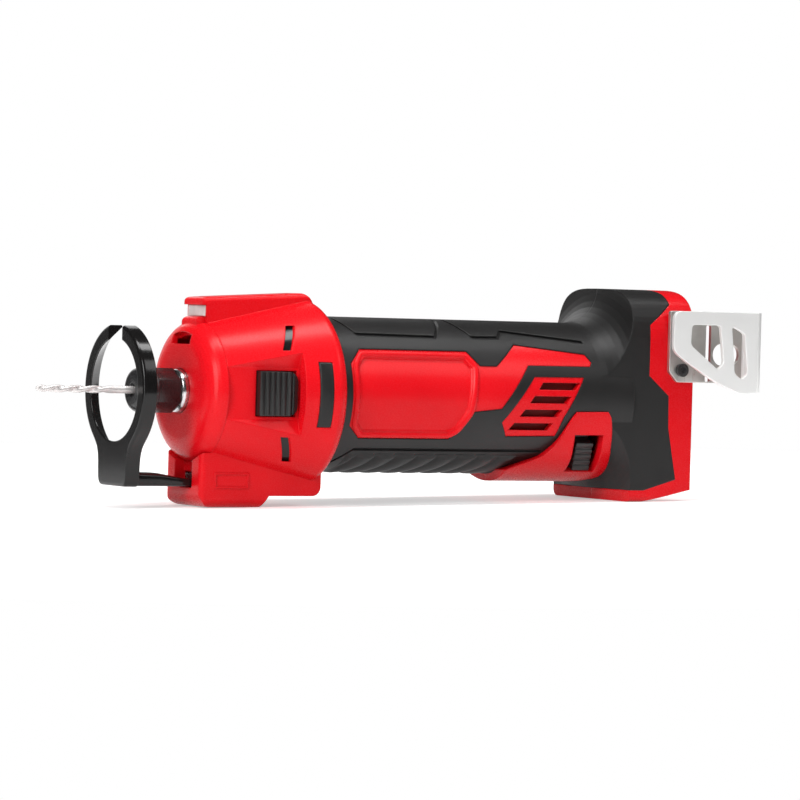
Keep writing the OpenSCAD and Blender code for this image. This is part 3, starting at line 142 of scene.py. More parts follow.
redSettings = dict(dark=(0.66, 0.003, 0.008), light=(0.76, 0.006, 0.012), driftScale=22, grainScale=2600,
                   rough=0.27, roughSpread=0.05, grainBump=0.08, grainDepth=0.00008, specular=0.17,
                   edge=0.0008)
rubberSettings = dict(dark=(0.010, 0.0095, 0.0095), light=(0.015, 0.0145, 0.0145), driftScale=30,
                      grainScale=3400, rough=0.42, roughSpread=0.06, grainBump=0.3, grainDepth=0.00012,
                      specular=0.3, edge=0.0009)
blackSettings = dict(dark=(0.008, 0.0075, 0.0075), light=(0.012, 0.0115, 0.0115), driftScale=40,
                     grainScale=3000, rough=0.34, roughSpread=0.06, grainBump=0.12, grainDepth=0.0001,
                     specular=0.45, edge=0.0006)
guidePlasticSettings = dict(dark=(0.006, 0.0055, 0.0055), light=(0.010, 0.0095, 0.0095), driftScale=40,
                            grainScale=2600, rough=0.14, roughSpread=0.03, grainBump=0.03,
                            grainDepth=0.00004, specular=0.3, edge=0.0001)
# a dark red for the sheets behind the handle vents: painted shade for the hollow inside them
ventPaintedShadeSettings = dict(dark=(0.070, 0.002, 0.002), light=(0.11, 0.003, 0.003), driftScale=60,
                        grainScale=1500, rough=0.6, roughSpread=0.08, grainBump=0.1, grainDepth=0.0001,
                        specular=0.2, edge=0.0003)
lensSettings = dict(dark=(0.58, 0.52, 0.50), light=(0.74, 0.68, 0.66), driftScale=180, grainScale=900,
                    rough=0.18, roughSpread=0.05, grainBump=0.1, grainDepth=0.0001, coat=0.6,
                    coatRough=0.05, edge=0.0004)
boardSettings = dict(dark=(0.010, 0.070, 0.030), light=(0.020, 0.110, 0.050), driftScale=160,
                     grainScale=1500, rough=0.4, roughSpread=0.1, grainBump=0.15, grainDepth=0.0001,
                     edge=0.0002)
carbonSettings = dict(dark=(0.015, 0.015, 0.016), light=(0.030, 0.030, 0.032), driftScale=300,
                      grainScale=4000, rough=0.6, roughSpread=0.1, grainBump=0.3, grainDepth=0.0001,
                      edge=0.0003)
oxideSettings = dict(dark=(0.012, 0.012, 0.013), light=(0.026, 0.026, 0.027), driftScale=90,
                     streak=(6, 1, 1), streakScale=900, rough=0.3, roughSpread=0.08, grainBump=0.15,
                     grainDepth=0.00006, metal=0.1, edge=0.0004)
bitSteelSettings = dict(dark=(0.66, 0.63, 0.62), light=(0.80, 0.77, 0.76), driftScale=400,
                        streak=(8, 1, 1), streakScale=1500, rough=0.46, roughSpread=0.08, grainBump=0.1,
                        grainDepth=0.00004, metal=0.75, edge=0.0001)
steelSettings = dict(dark=(0.50, 0.50, 0.51), light=(0.68, 0.68, 0.69), driftScale=120, streak=(8, 1, 1),
                     streakScale=900, rough=0.24, roughSpread=0.08, grainBump=0.1, grainDepth=0.00005,
                     metal=1.0, edge=0.0002)
stainlessSettings = dict(dark=(0.86, 0.86, 0.85), light=(0.92, 0.92, 0.91), driftScale=35,
                         streak=(0.05, 1, 1), streakScale=1400, rough=0.4, roughSpread=0.06,
                         grainBump=0.06, grainDepth=0.00004, metal=0.4, edge=0.0004)
# a darker, more metallic copy of the stainless finish for the hook's far leg: painted shade for the leg lying
# behind the near one
farLegPaintedShadeSettings = dict(dark=(0.46, 0.45, 0.43), light=(0.60, 0.59, 0.57), driftScale=60,
                      streak=(1, 1, 0.05), streakScale=900, rough=0.34, roughSpread=0.08, grainBump=0.08,
                      grainDepth=0.00004, metal=0.85, edge=0.0004)
ironSettings = dict(dark=(0.12, 0.12, 0.125), light=(0.22, 0.22, 0.225), driftScale=70, streak=(1, 6, 6),
                    streakScale=700, rough=0.45, roughSpread=0.1, grainBump=0.2, grainDepth=0.00008,
                    metal=0.9, edge=0.0003)
copperSettings = dict(dark=(0.55, 0.24, 0.11), light=(0.74, 0.36, 0.18), driftScale=140,
                      streak=(6, 1, 1), streakScale=900, rough=0.3, roughSpread=0.08, grainBump=0.15,
                      grainDepth=0.00006, metal=1.0, edge=0.0003)

finishes = {
    "red_plastic": mouldedFinish("satinRedPlastic", redSettings),
    "grip_rubber": mouldedFinish("gripRubber", rubberSettings),
    "black_plastic": mouldedFinish("blackPlastic", blackSettings),
    "lens": mouldedFinish("frostedLens", lensSettings),
    "board": mouldedFinish("circuitBoard", boardSettings),
    "carbon": mouldedFinish("pressedCarbon", carbonSettings),
    "black_steel": brushedFinish("blackOxideSteel", oxideSettings),
    "bright_steel": brushedFinish("groundSteel", steelSettings),
    "stainless": brushedFinish("brushedStainless", stainlessSettings),
    "motor_iron": brushedFinish("motorIron", ironSettings),
    "copper": brushedFinish("drawnCopper", copperSettings),
}
guidePlastic = mouldedFinish("guidePlastic", guidePlasticSettings)
ventPaintedShade = mouldedFinish("ventPaintedShade", ventPaintedShadeSettings)
bitSteel = brushedFinish("flutedSteel", bitSteelSettings)
farLegPaintedShadeStainless = brushedFinish("farLegPaintedShadeStainless", farLegPaintedShadeSettings)
slotOfNode = {entry["node"]: entry["material_slot"] for entry in frame["record"]["subparts"]}
# the hook screw takes the black oxide finish, though its slot is bright: painted shade for the dark hole it
# sits in
screwShadeNode = "hook_screw"  # a blackened screw, though its slot is bright
for nodeName, obj in nodes.items():
    obj.data.materials.clear()
    obj.data.materials.append(finishes["black_steel" if nodeName == screwShadeNode else slotOfNode[nodeName]])
print("finishes assigned")


# mesh makers shared by the pieces below
def settle(piece, body, slot, replaced=(), finish=None):
    piece.data.materials.append(finish or finishes[slot])
    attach(piece, body)
    if replaced:
        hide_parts(*replaced)
    return piece


def linkedPiece(name, mesh):
    piece = bpy.data.objects.new(name, mesh)
    bpy.context.scene.collection.objects.link(piece)
    return piece


def finishMesh(name, mesh, sharp):
    work = bmesh.new()
    work.from_mesh(mesh)
    bmesh.ops.remove_doubles(work, verts=work.verts, dist=mergeSize)
    bmesh.ops.recalc_face_normals(work, faces=work.faces)
    work.to_mesh(mesh)
    work.free()
    mesh.shade_smooth()
    mesh.set_sharp_from_angle(angle=math.radians(sharp))
    return linkedPiece(name, mesh)


def gridPiece(name, points, closeAround=True, closeAlong=False, sharp=50.0):
    # points[i, j] is a grid of places in mm: i runs along, j runs around
    rows, cols = points.shape[:2]
    i = np.arange(rows if closeAlong else rows - 1)[:, None]
    j = np.arange(cols if closeAround else cols - 1)[None, :]
    nextRow, nextCol = (i + 1) % rows * cols, (j + 1) % cols
    quads = np.stack([i * cols + j, i * cols + nextCol, nextRow + nextCol, nextRow + j], -1).reshape(-1, 4)
    mesh = bpy.data.meshes.new(name)
    mesh.from_pydata((points * mm).reshape(-1, 3).tolist(), [], quads.tolist())
    return finishMesh(name, mesh, sharp)


def cappedEnds(grid):
    # the grid with each end row drawn in to its own middle
    first = np.broadcast_to(grid[0].mean(0), grid[0].shape)[None]
    last = np.broadcast_to(grid[-1].mean(0), grid[-1].shape)[None]
    return np.concatenate([first, grid, last])


def fullTurn(steps):
    return np.linspace(0, 2 * np.pi, steps, endpoint=False)


def smoothRise(t):
    # 0 below 0, 1 above 1, and 3 t squared less 2 t cubed between
    t = np.clip(t, 0, 1)
    return t * t * (3 - 2 * t)


def readArray(items, key, width, kind=float):
    flat = np.empty(len(items) * width, dtype=kind)
    items.foreach_get(key, flat)
    return flat.reshape(-1, width)


def shapedCopy(name, nodeName, shape, s):
    # the node's triangles on joined points, shaped, with the shading that the solid's true faces give
    source = nodes[nodeName].data
    points = readArray(source.vertices, "co", 3)
    corners = readArray(source.loops, "vertex_index", 1, int)
    normals = readArray(source.corner_normals, "vector", 3)
    joined, place = np.unique(np.round(points / joinSize).astype(int), axis=0, return_inverse=True)
    faces = place.ravel()[corners.ravel()].reshape(-1, 3)
    whole = (faces != np.roll(faces, 1, axis=1)).all(axis=1)
    mesh = bpy.data.meshes.new(name)
    mesh.from_pydata(shape(joined * joinSize, s).tolist(), [], faces[whole].tolist())
    mesh.shade_smooth()
    mesh.normals_split_custom_set(normals.reshape(-1, 3, 3)[whole].reshape(-1, 3).tolist())
    return settle(linkedPiece(name, mesh), "tool_body", slotOfNode[nodeName], (nodeName,))


# the switch mound stands further toward the foot, low down, than the solids have it, and its window leans
moundSettings = dict(heights=(-44.0, -33.0, -20.0, -8.0), shifts=(8.0, 7.8, 3.0, 0.0),
                     stations=(148.0, 162.0, 191.0, 202.0), share=(0.0, 1.0, 1.0, 0.0),
                     sides=(-12.0, -2.0), sideShare=(1.0, 0.0),
                     windowHeights=(-38.0, -32.0, -16.0, -11.0), windowShifts=(1.3, 2.3, 0.4, 0.0),
                     windowStations=(158.0, 165.0, 185.0, 190.0),
                     liftHeights=(-21.0, -16.0, -8.0), lifts=(0.0, 0.4, 0.0),
                     liftStations=(167.0, 170.0, 186.5, 189.5), liftSides=(-25.0, -23.5), skinSlope=-0.4,
                     sliderMiddle=176.5, sliderScale=0.62, sliderOffset=0.4)


def leanMound(points, s):
    # shift along x = a line over height * a share along the handle, and a second such pair for the
    # window, both * a share that ends at the parting plane
    x, y, z = (points / mm).T
    shift = np.interp(z, s["heights"], s["shifts"]) * np.interp(x, s["stations"], s["share"])
    window = np.interp(z, s["windowHeights"], s["windowShifts"])
    window = window * np.interp(x, s["windowStations"], s["share"])
    return np.stack([x + (shift + window) * np.interp(y, s["sides"], s["sideShare"]), y, z], -1) * mm


def raisedMound(points, s):
    # the window's upper edge moves up along the mound's skin, the skin above closes up, then all leans
    x, y, z = (points / mm).T
    lift = np.interp(z, s["liftHeights"], s["lifts"]) * np.interp(x, s["liftStations"], s["share"])
    lift = lift * np.interp(y, s["liftSides"], s["sideShare"])
    return leanMound(np.stack([x, y + s["skinSlope"] * lift, z + lift], -1) * mm, s)


def leanedSlider(points, s):
    # x drawn in toward the slider's middle line and set over, then leaned with the mound
    middle = s["sliderMiddle"] * mm
    drawn = points.copy()
    drawn[:, 0] = middle + (points[:, 0] - middle) * s["sliderScale"] + s["sliderOffset"] * mm
    return leanMound(drawn, s)


shapedCopy("leftShell", "left_shell", raisedMound, moundSettings)
shapedCopy("leftGrip", "left_grip", raisedMound, moundSettings)
print("switch mound shaped")

# the nose vents are wider than the solids have them
ventSettings = dict(front=30.1, width=2.6, lean=5.0, low=18.0, high=28.2, reach=0.05, frontShift=-0.7,
                    backShift=0.5, cone=0.21)


def widerVents(points, s):
    # points on a slot's front or back wall move along x, and outward with the cone
    x, y, z = (points / mm).T
    height, reach = np.abs(z), s["reach"]
    wall = s["front"] + s["lean"] * (height - s["low"]) / (s["high"] - s["low"])
    inSlot = (y < 0) & (height > s["low"] - reach) & (height < s["high"] + reach)
    shift = s["frontShift"] * (np.abs(x - wall) < reach)
    shift = inSlot * (shift + s["backShift"] * (np.abs(x - wall - s["width"]) < reach))
    grow = 1 + s["cone"] * shift / np.maximum(np.hypot(y, z), 1)
    return np.stack([x + shift, y * grow, z * grow], -1) * mm


shapedCopy("noseHousing", "nose_housing", widerVents, ventSettings)
print("nose vents shaped")

# the lock spring, copied with every point where the solid has it, and its seat at the middle of its box on
# the box's far side in y; the button's travel is listed but not used here
springSettings = dict(travel=3.5)


def asBuilt(points, s):
    # every point where the solid has it
    return points


lockSpring = shapedCopy("lockSpring", "lock_spring", asBuilt, springSettings)
springLow, springHigh = (np.array(corner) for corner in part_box("lock_spring"))
springSeat = (springLow + springHigh) / 2
springSeat[1] = springHigh[1]
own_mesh(lockSpring)
print("lock spring made")

# copies of machined or moulded nodes with their edges eased
easedSettings = [
    dict(node="collet_nut", name="colletNut", body="spindle_group", ease=0.0005),
    dict(node="side_bumpers", name="sideBumpers", body="tool_body", ease=0.0007),
    dict(node="lock_button", name="lockButton", body="lock", ease=0.0003, segments=2),
    dict(node="switch_slider", name="switchSlider", body="switch", ease=0.0003, segments=2,
         shape=leanedSlider),
    dict(node="light_lens", name="lightLens", body="tool_body", ease=0.0004),
]
edgeAngles = dict(flat=1.0, eased=32.0)  # faces closer than flat are one face, edges past eased get rounded


def easedCopy(s):
    # the node's own faces, joined where they lie in one plane, with a narrow bevel on the sharp edges
    mesh = nodes[s["node"]].data.copy()
    mesh.name = s["name"]
    mesh.materials.clear()
    work = bmesh.new()
    work.from_mesh(mesh)
    bmesh.ops.remove_doubles(work, verts=work.verts, dist=joinSize)
    bmesh.ops.dissolve_limit(work, angle_limit=math.radians(edgeAngles["flat"]), verts=work.verts,
                             edges=work.edges)
    work.to_mesh(mesh)
    work.free()
    mesh.shade_smooth()
    if "shape" in s:
        shaped = s["shape"](readArray(mesh.vertices, "co", 3), moundSettings)
        mesh.vertices.foreach_set("co", shaped.ravel())
    piece = linkedPiece(s["name"], mesh)
    ease = piece.modifiers.new("easedEdges", "BEVEL")
    ease.width = s["ease"]
    ease.segments = s.get("segments", 3)
    ease.limit_method = "ANGLE"
    ease.angle_limit = math.radians(edgeAngles["eased"])
    ease.use_clamp_overlap = False
    ease.harden_normals = True
    return settle(piece, s["body"], slotOfNode[s["node"]], (s["node"],))


for easedEntry in easedSettings:
    easedCopy(easedEntry)
print("eased copies made")

# the two-flute spiral bit
bitSettings = dict(tip=-69.0, shank=-23.0, radius=1.59, pitch=17.0, flutes=2, fluteDepth=0.36,
                   fluteCurve=1.4, fluteEnd=-33.0, fade=6.0, point=2.2, pointCurve=0.6, tipShare=0.25,
                   along=220, around=48, sharp=75)


def spiralBit(s):
    # radius = shank radius less a flute wave of two lobes that turns with x and fades out at the shank,
    # drawn in over the point to a share of itself
    x = np.linspace(s["tip"], s["shank"], s["along"])[:, None]
    a = fullTurn(s["around"])[None, :]
    fade = smoothRise((s["fluteEnd"] - x) / s["fade"])
    lobe = 0.5 + 0.5 * np.cos(s["flutes"] * (a + 2 * np.pi * x / s["pitch"]))
    point = np.clip((x - s["tip"]) / s["point"], 0, 1) ** s["pointCurve"]
    r = s["radius"] * (1 - s["fluteDepth"] * fade * lobe ** s["fluteCurve"])
    r = r * (s["tipShare"] + (1 - s["tipShare"]) * point)
    grid = np.stack([x + 0 * a, r * np.cos(a), r * np.sin(a)], -1)
    return gridPiece("spiralBit", cappedEnds(grid), sharp=s["sharp"])


settle(spiralBit(bitSettings), "spindle_group", "bright_steel", ("cutting_bit",), bitSteel)
print("bit made")

# the bright dust ring behind the nut
dustSettings = dict(profile=((-6.0, 6.6), (-6.0, 8.0), (-5.7, 8.6), (-5.1, 9.0), (-4.2, 9.2), (-1.2, 9.2),
                             (-0.7, 9.0), (-0.4, 8.6), (-0.4, 6.6)), around=72)


def dustRing(s):
    # the profile of place along x and radius, turned about x
    x, r = np.array(s["profile"]).T[:, :, None]
    a = fullTurn(s["around"])[None, :]
    return gridPiece("dustRing", np.stack([x + 0 * a, r * np.cos(a), r * np.sin(a)], -1), closeAlong=True)


settle(dustRing(dustSettings), "spindle_group", "bright_steel", ("dust_ring",))
print("dust ring made")

# the depth guide: a slotted ring that runs into its stem, and the arm behind it
guideSettings = dict(front=-33.4, depth=6.4, innerFront=21.3, innerBack=26.5, outer=27.3, halfStem=13.0,
                     drop=39.8, stemCorner=16.0, stemFrom=0.05, flow=9.0, bevel=1.2, ease=0.5, rest=0.25,
                     bevelSteps=6, gap=12.5, steps=360, plateSharp=40, armHalf=7.0, armLow=-39.8,
                     armTop=((-28.4, -29.6), (-27.2, -30.6), (-25.8, -32.6), (-24.2, -33.7), (-22.5, -34.0),
                             (-14.0, -34.2), (-9.0, -35.0), (-4.0, -35.9), (1.0, -36.4), (26.0, -36.4)),
                     armRound=4.5, armAround=64, armSharp=35)
tiny = 1e-30  # keeps a power of zero finite


def smoothMax(a, b, reach):
    # the larger of two values, with a round hollow of the given reach where they cross
    h = np.maximum(reach - np.abs(a - b), 0) / reach
    return np.maximum(a, b) + h * h * reach / 4


def guidePlate(s):
    # outer radius = ring or rounded stem, whichever lies farther out along the angle; the section has
    # round front edges and a cone inside, and both ends stop at the planes of the sight gap
    front, back, b, e = s["front"], s["front"] + s["depth"], s["bevel"], s["ease"]
    turn = np.linspace(0, np.pi / 2, s["bevelSteps"])[:, None]
    x, share, off = np.eye(3)
    # each row: place along x, share of the outer radius, offset in radius
    frontRound = (front + b * (1 - np.cos(turn))) * x + share + b * (np.sin(turn) - 1) * off
    backRound = (back - e * (1 - np.sin(turn))) * x + share + e * (np.cos(turn) - 1) * off
    innerRadius = s["innerFront"] + e * (1 - np.cos(turn))
    innerRound = (front + e * (1 - np.sin(turn))) * x + innerRadius * off
    flat = np.array([[front, 0, s["innerFront"] + e + s["rest"]], [front, 1, -b - s["rest"]]])
    side = np.array([[front + b + s["rest"], 1, 0], [back - e - s["rest"], 1, 0]])
    rear = np.array([[back, 1, -e - s["rest"]], [back, 0, s["innerBack"]]])
    loop = np.concatenate([innerRound, flat, frontRound, side, backRound, rear])
    restRadius = loop[:, 1] * s["outer"] + loop[:, 2]
    gapAngle = np.arcsin(s["gap"] / 2 / restRadius)
    sweep = np.linspace(0, 1, s["steps"])[:, None]
    angle = np.pi / 2 + gapAngle + sweep * (2 * np.pi - 2 * gapAngle)
    c, z = np.abs(np.cos(angle)), -np.sin(angle)
    p = s["stemCorner"]
    stem = ((c / s["halfStem"]) ** p + (np.maximum(z, 0) / s["drop"]) ** p + tiny) ** (-1 / p)
    outer = smoothMax(s["outer"], stem * (z > s["stemFrom"]), s["flow"])
    r = loop[:, 1] * outer + loop[:, 2]
    grid = np.stack([loop[:, 0] + 0 * r, r * np.cos(angle), r * np.sin(angle)], -1)
    return gridPiece("guidePlate", cappedEnds(grid), sharp=s["plateSharp"])


def guideArm(s):
    # a bar of rounded-box section whose top falls from the gusset to the arm and thins toward the chin
    x, top = np.array(s["armTop"]).T[:, :, None]
    a = fullTurn(s["armAround"])
    c, z = np.cos(a), np.sin(a)
    e = 2 / s["armRound"]
    y = s["armHalf"] * np.sign(c) * np.abs(c) ** e
    lift = np.sign(z) * np.abs(z) ** e
    middle, half = (top + s["armLow"]) / 2, (top - s["armLow"]) / 2
    grid = np.stack([x + 0 * a, y + 0 * x, middle + half * lift], -1)
    return gridPiece("guideArm", cappedEnds(grid), sharp=s["armSharp"])


settle(guidePlate(guideSettings), "guide", "black_plastic", ("depth_guide",), guidePlastic)
settle(guideArm(guideSettings), "guide", "black_plastic", (), guidePlastic)
print("depth guide made")

# the ribbed pad under the handle
ribSettings = dict(radius=32.53, rise=1.15, pitch=10.0, slant=24.0, barCurve=0.75, first=77.0, front=66.0,
                   back=151.0, top=50.0, border=3.0, sink=0.12, rimSteep=6, along=240, around=130, sharp=70)


def ribPad(s):
    # radius = handle radius + rise * rounded bars that slant across the bottom, faded out at the pad's
    # border, whose very edge sinks into the handle
    x = np.linspace(s["front"], s["back"], s["along"])[:, None]
    a = np.radians(np.linspace(s["top"], 180 - s["top"], s["around"]))[None, :]
    y = -s["radius"] * np.cos(a)
    tilt = math.radians(s["slant"])
    across = (x - s["first"]) * math.cos(tilt) - np.abs(y) * math.sin(tilt)
    bar = np.abs(np.cos(np.pi * across / (s["pitch"] * math.cos(tilt)))) ** s["barCurve"]
    nearTop = np.minimum(np.degrees(a) - s["top"], 180 - s["top"] - np.degrees(a)) / s["border"]
    nearEnd = np.minimum(x - s["front"], s["back"] - x) / s["border"]
    inside = np.minimum(nearTop, nearEnd)
    rim = np.clip(inside * s["rimSteep"], 0, 1)
    r = s["radius"] - s["sink"] * (1 - rim) + s["rise"] * bar * smoothRise(inside)
    grid = np.stack([x + 0 * a, -r * np.cos(a), -r * np.sin(a)], -1)
    return gridPiece("ribPad", grid, closeAround=False, sharp=s["sharp"])


settle(ribPad(ribSettings), "tool_body", "grip_rubber")
print("rib pad made")

# the raised frame round the plain field on each flank of the handle
badgeSettings = dict(radius=32.2, sampleCount=360, corner=1.6, sharp=40,
                     side=((64.2, 12.2), (68.0, 17.5), (119.2, 17.5), (123.0, 12.8), (120.5, -6.2),
                           (115.0, -14.6), (111.6, -16.5), (68.2, -16.5), (64.2, -12.2)),
                     section=((1.45, -0.15), (1.3, 0.3), (0.85, 0.75), (0.3, 0.85), (-0.3, 0.82), (-0.8, 0.5),
                              (-1.7, -0.7), (-2.0, -0.96), (-2.4, -1.06)))
cornerSteps = 7


def unitRows(rows):
    return rows / np.linalg.norm(rows, axis=1)[:, None]


def roundedPath(corners, corner, count):
    # a closed path through straight sides and short bent corners, evenly spaced
    points = np.array(corners, float)
    corner = np.broadcast_to(corner, len(points))[:, None]
    start = (points + unitRows(np.roll(points, 1, 0) - points) * corner)[:, None]
    end = (points + unitRows(np.roll(points, -1, 0) - points) * corner)[:, None]
    w = np.linspace(0, 1, cornerSteps)[None, :, None]
    bent = (start * (1 - w) ** 2 + points[:, None] * 2 * w * (1 - w) + end * w ** 2).reshape(-1, 2)
    closed = np.concatenate([bent, bent[:1]])
    run = np.concatenate([[0], np.cumsum(np.linalg.norm(np.diff(closed, axis=0), axis=1))])
    even = np.linspace(0, run[-1], count, endpoint=False)
    return np.stack([np.interp(even, run, closed[:, k]) for k in (0, 1)], -1)


def badgeFrame(name, s, side):
    # the frame's section carried along the path on the unrolled handle, then rolled back round it
    flat = np.array(s["side"], float)
    flat[:, 1] = s["radius"] * np.arcsin(flat[:, 1] / s["radius"])
    path = roundedPath(flat, s["corner"], s["sampleCount"])
    along = unitRows(np.roll(path, -1, 0) - np.roll(path, 1, 0))
    outward = np.stack([-along[:, 1], along[:, 0]], -1)
    section = np.array(s["section"])
    spot = path[:, None] + outward[:, None] * section[None, :, :1]
    r = s["radius"] + section[None, :, 1]
    a = spot[..., 1] / s["radius"]
    grid = np.stack([spot[..., 0], side * r * np.cos(a), r * np.sin(a)], -1)
    return gridPiece(name, grid, closeAround=False, closeAlong=True, sharp=s["sharp"])


settle(badgeFrame("badgeFrameNear", badgeSettings, -1), "tool_body", "red_plastic")
settle(badgeFrame("badgeFrameFar", badgeSettings, 1), "tool_body", "red_plastic")
print("badge frames made")

# the belt hook: one sheet with two bends, its near leg cut out in two windows
hookSettings = dict(sheet=2.0, ease=0.25, easeSteps=2, outside=-45.0, inside=-31.0, end=260.0, bend=3.0,
                    bendSteps=9, edgeSteps=4, top=39.0, low=4.1, corner=1.7, samples=220, plateSharp=12,
                    endSharp=40,
                    nearLeg=((213.4, 39.0), (257.0, 39.0), (257.0, 4.1), (249.0, 3.6), (236.0, 8.2),
                             (219.0, 17.6), (213.2, 21.8)),
                    nearCorner=(4.0, 0.0, 0.0, 2.0, 4.0, 4.0, 3.0),
                    window=((222.6, 33.2), (237.4, 33.2), (239.6, 16.6), (236.6, 14.0), (222.2, 24.4)),
                    slit=((243.4, 33.0), (250.2, 29.8), (252.2, 12.2), (249.4, 9.8), (245.4, 12.4)),
                    farLeg=((219.2, 39.0), (257.0, 39.0), (257.0, 8.0), (223.4, 8.0), (219.2, 12.6)),
                    farCorner=(1.5, 0.0, 0.0, 1.0, 1.0),
                    slot=((238.0, 33.0), (240.6, 33.0), (240.6, 8.4), (238.0, 8.4)), slotCorner=0.6,
                    eye=((248.6, 20.4), 4.8, 2.0), screw=((225.4, 13.3), 1.7, 0.0), holeSteps=48)


def platePiece(name, outlines, middle, s):
    # a flat sheet filled between an outline and its holes, of the hook's thickness, with eased edges
    curve = bpy.data.curves.new(name, "CURVE")
    curve.dimensions = "2D"
    curve.fill_mode = "BOTH"
    curve.extrude = (s["sheet"] / 2 - s["ease"]) * mm
    curve.bevel_depth = s["ease"] * mm
    curve.bevel_resolution = s["easeSteps"]
    curve.offset = -s["ease"] * mm
    for outline in outlines:
        spline = curve.splines.new("POLY")
        spline.points.add(len(outline) - 1)
        flat = np.zeros((len(outline), 4))
        flat[:, :2] = outline * mm
        spline.points.foreach_set("co", flat.ravel())
        spline.use_cyclic_u = True
    pattern = linkedPiece(name + "Pattern", curve)
    mesh = bpy.data.meshes.new_from_object(pattern.evaluated_get(bpy.context.evaluated_depsgraph_get()))
    bpy.data.objects.remove(pattern)
    bpy.data.curves.remove(curve)
    across, up, through = readArray(mesh.vertices, "co", 3).T
    mesh.vertices.foreach_set("co", np.stack([across, middle * mm - through, up], -1).ravel())
    return finishMesh(name, mesh, s["plateSharp"])


def stadium(place, radius, half, count):
    # two half circles set apart along x by twice the half length
    a = fullTurn(count)
    across = place[0] + half * np.sign(np.cos(a)) + radius * np.cos(a)
    return np.stack([across, place[1] + radius * np.sin(a)], -1)


def hookEnd(s):
    # a round-edged rectangle of the sheet's section carried along two quarter bends and the flat between
    turn = np.radians(np.linspace(0, 90, s["bendSteps"]))
    r, t, e = s["bend"] - s["sheet"] / 2, s["sheet"] / 2, s["ease"]
    outward = np.stack([np.sin(turn), -np.cos(turn)], -1)
    near = np.array([s["end"] - s["bend"], s["outside"] + s["bend"]]) + r * outward
    far = np.stack([near[::-1, 0], s["inside"] + s["outside"] - near[::-1, 1]], -1)
    path = np.concatenate([near, far])
    across = np.concatenate([outward, outward[::-1] * [1, -1]])
    arc = np.linspace(0, np.pi / 2, s["edgeSteps"])
    corner = np.stack([t - e + e * np.cos(arc), s["top"] - e + e * np.sin(arc)], -1)
    upper = np.concatenate([corner, corner[::-1] * [-1, 1]])
    lower = np.stack([-upper[:, 0], s["top"] + s["low"] - upper[:, 1]], -1)
    section = np.concatenate([upper, lower])
    flat = path[:, None] + across[:, None] * section[None, :, :1]
    grid = np.concatenate([flat, np.broadcast_to(section[None, :, 1:], flat.shape[:2] + (1,))], -1)
    return gridPiece("hookEnd", cappedEnds(grid), sharp=s["endSharp"])


def beltHook(s):
    # the near leg with its window and slit, the far leg with its slot, eye and screw hole, and the end
    count, t = s["samples"], s["sheet"] / 2
    windows = [roundedPath(s[k], s["corner"], count // 2) for k in ("window", "slit")]
    nearLeg = roundedPath(s["nearLeg"], s["nearCorner"], count)
    near = platePiece("hookNearLeg", [nearLeg] + windows, s["outside"] + t, s)
    holes = [roundedPath(s["slot"], s["slotCorner"], count // 2)]
    holes += [stadium(*s[k], s["holeSteps"]) for k in ("eye", "screw")]
    farLeg = roundedPath(s["farLeg"], s["farCorner"], count)
    far = platePiece("hookFarLeg", [farLeg] + holes, s["inside"] - t, s)
    settle(near, "tool_body", "stainless", ("belt_hook",))
    # the far leg takes the darker copy of the stainless finish: painted shade
    settle(far, "tool_body", "stainless", (), farLegPaintedShadeStainless)
    settle(hookEnd(s), "tool_body", "stainless")


beltHook(hookSettings)
print("belt hook made")

# black sheets behind the two nose vents: painted shade for the shadowed hollow inside them
noseVentShadeSettings = dict(front=28.6, back=39.6, low=16.6, high=29.6, radius=33.7, radiusAt=30.1, cone=0.21,
                          along=16, around=16)


def noseVentShade(name, s, side):
    # a patch of the nose cone set a little under its skin, above or below the lock button
    x = np.linspace(s["front"], s["back"], s["along"])[:, None]
    z = side * np.linspace(s["low"], s["high"], s["around"])[None, :]
    r = s["radius"] + s["cone"] * (x - s["radiusAt"])
    grid = np.stack([x + 0 * z, -np.sqrt(r * r - z * z), z + 0 * x], -1)
    return gridPiece(name, grid, closeAround=False)


settle(noseVentShade("noseVentShadeUpper", noseVentShadeSettings, 1), "tool_body", "black_plastic", (), guidePlastic)
settle(noseVentShade("noseVentShadeLower", noseVentShadeSettings, -1), "tool_body", "black_plastic", (), guidePlastic)

# dark red sheets behind the handle's vent slots: painted shade for the shadowed hollow inside them
ventShadeSheetSettings = dict(radius=29.3, front=140.0, back=176.0, low=-22.0, high=12.0, along=40, around=40)


def ventShadeSheet(name, s, side):
    # a patch of a cylinder behind the slots, dark red as painted shade
    x = np.linspace(s["front"], s["back"], s["along"])[:, None]
    low, high = (math.asin(s[k] / s["radius"]) for k in ("low", "high"))
    a = np.linspace(low, high, s["around"])[None, :]
    y, z = side * s["radius"] * np.cos(a), s["radius"] * np.sin(a)
    return gridPiece(name, np.stack([x + 0 * a, y + 0 * x, z + 0 * x], -1), closeAround=False)


settle(ventShadeSheet("ventShadeSheetNear", ventShadeSheetSettings, -1), "tool_body", "red_plastic", (), ventPaintedShade)
settle(ventShadeSheet("ventShadeSheetFar", ventShadeSheetSettings, 1), "tool_body", "red_plastic", (), ventPaintedShade)
print("vent screens made")

# camera at the photograph's viewing angle
cameraSettings = dict(azimuth=-30.4, elevation=1.17, roll=1.62, distance=2.0, focalPixels=4660.0,
                      targetX=0.120, pixelX=433.1, pixelY=394.9, imageSize=800, sensor=36.0, farClip=20)


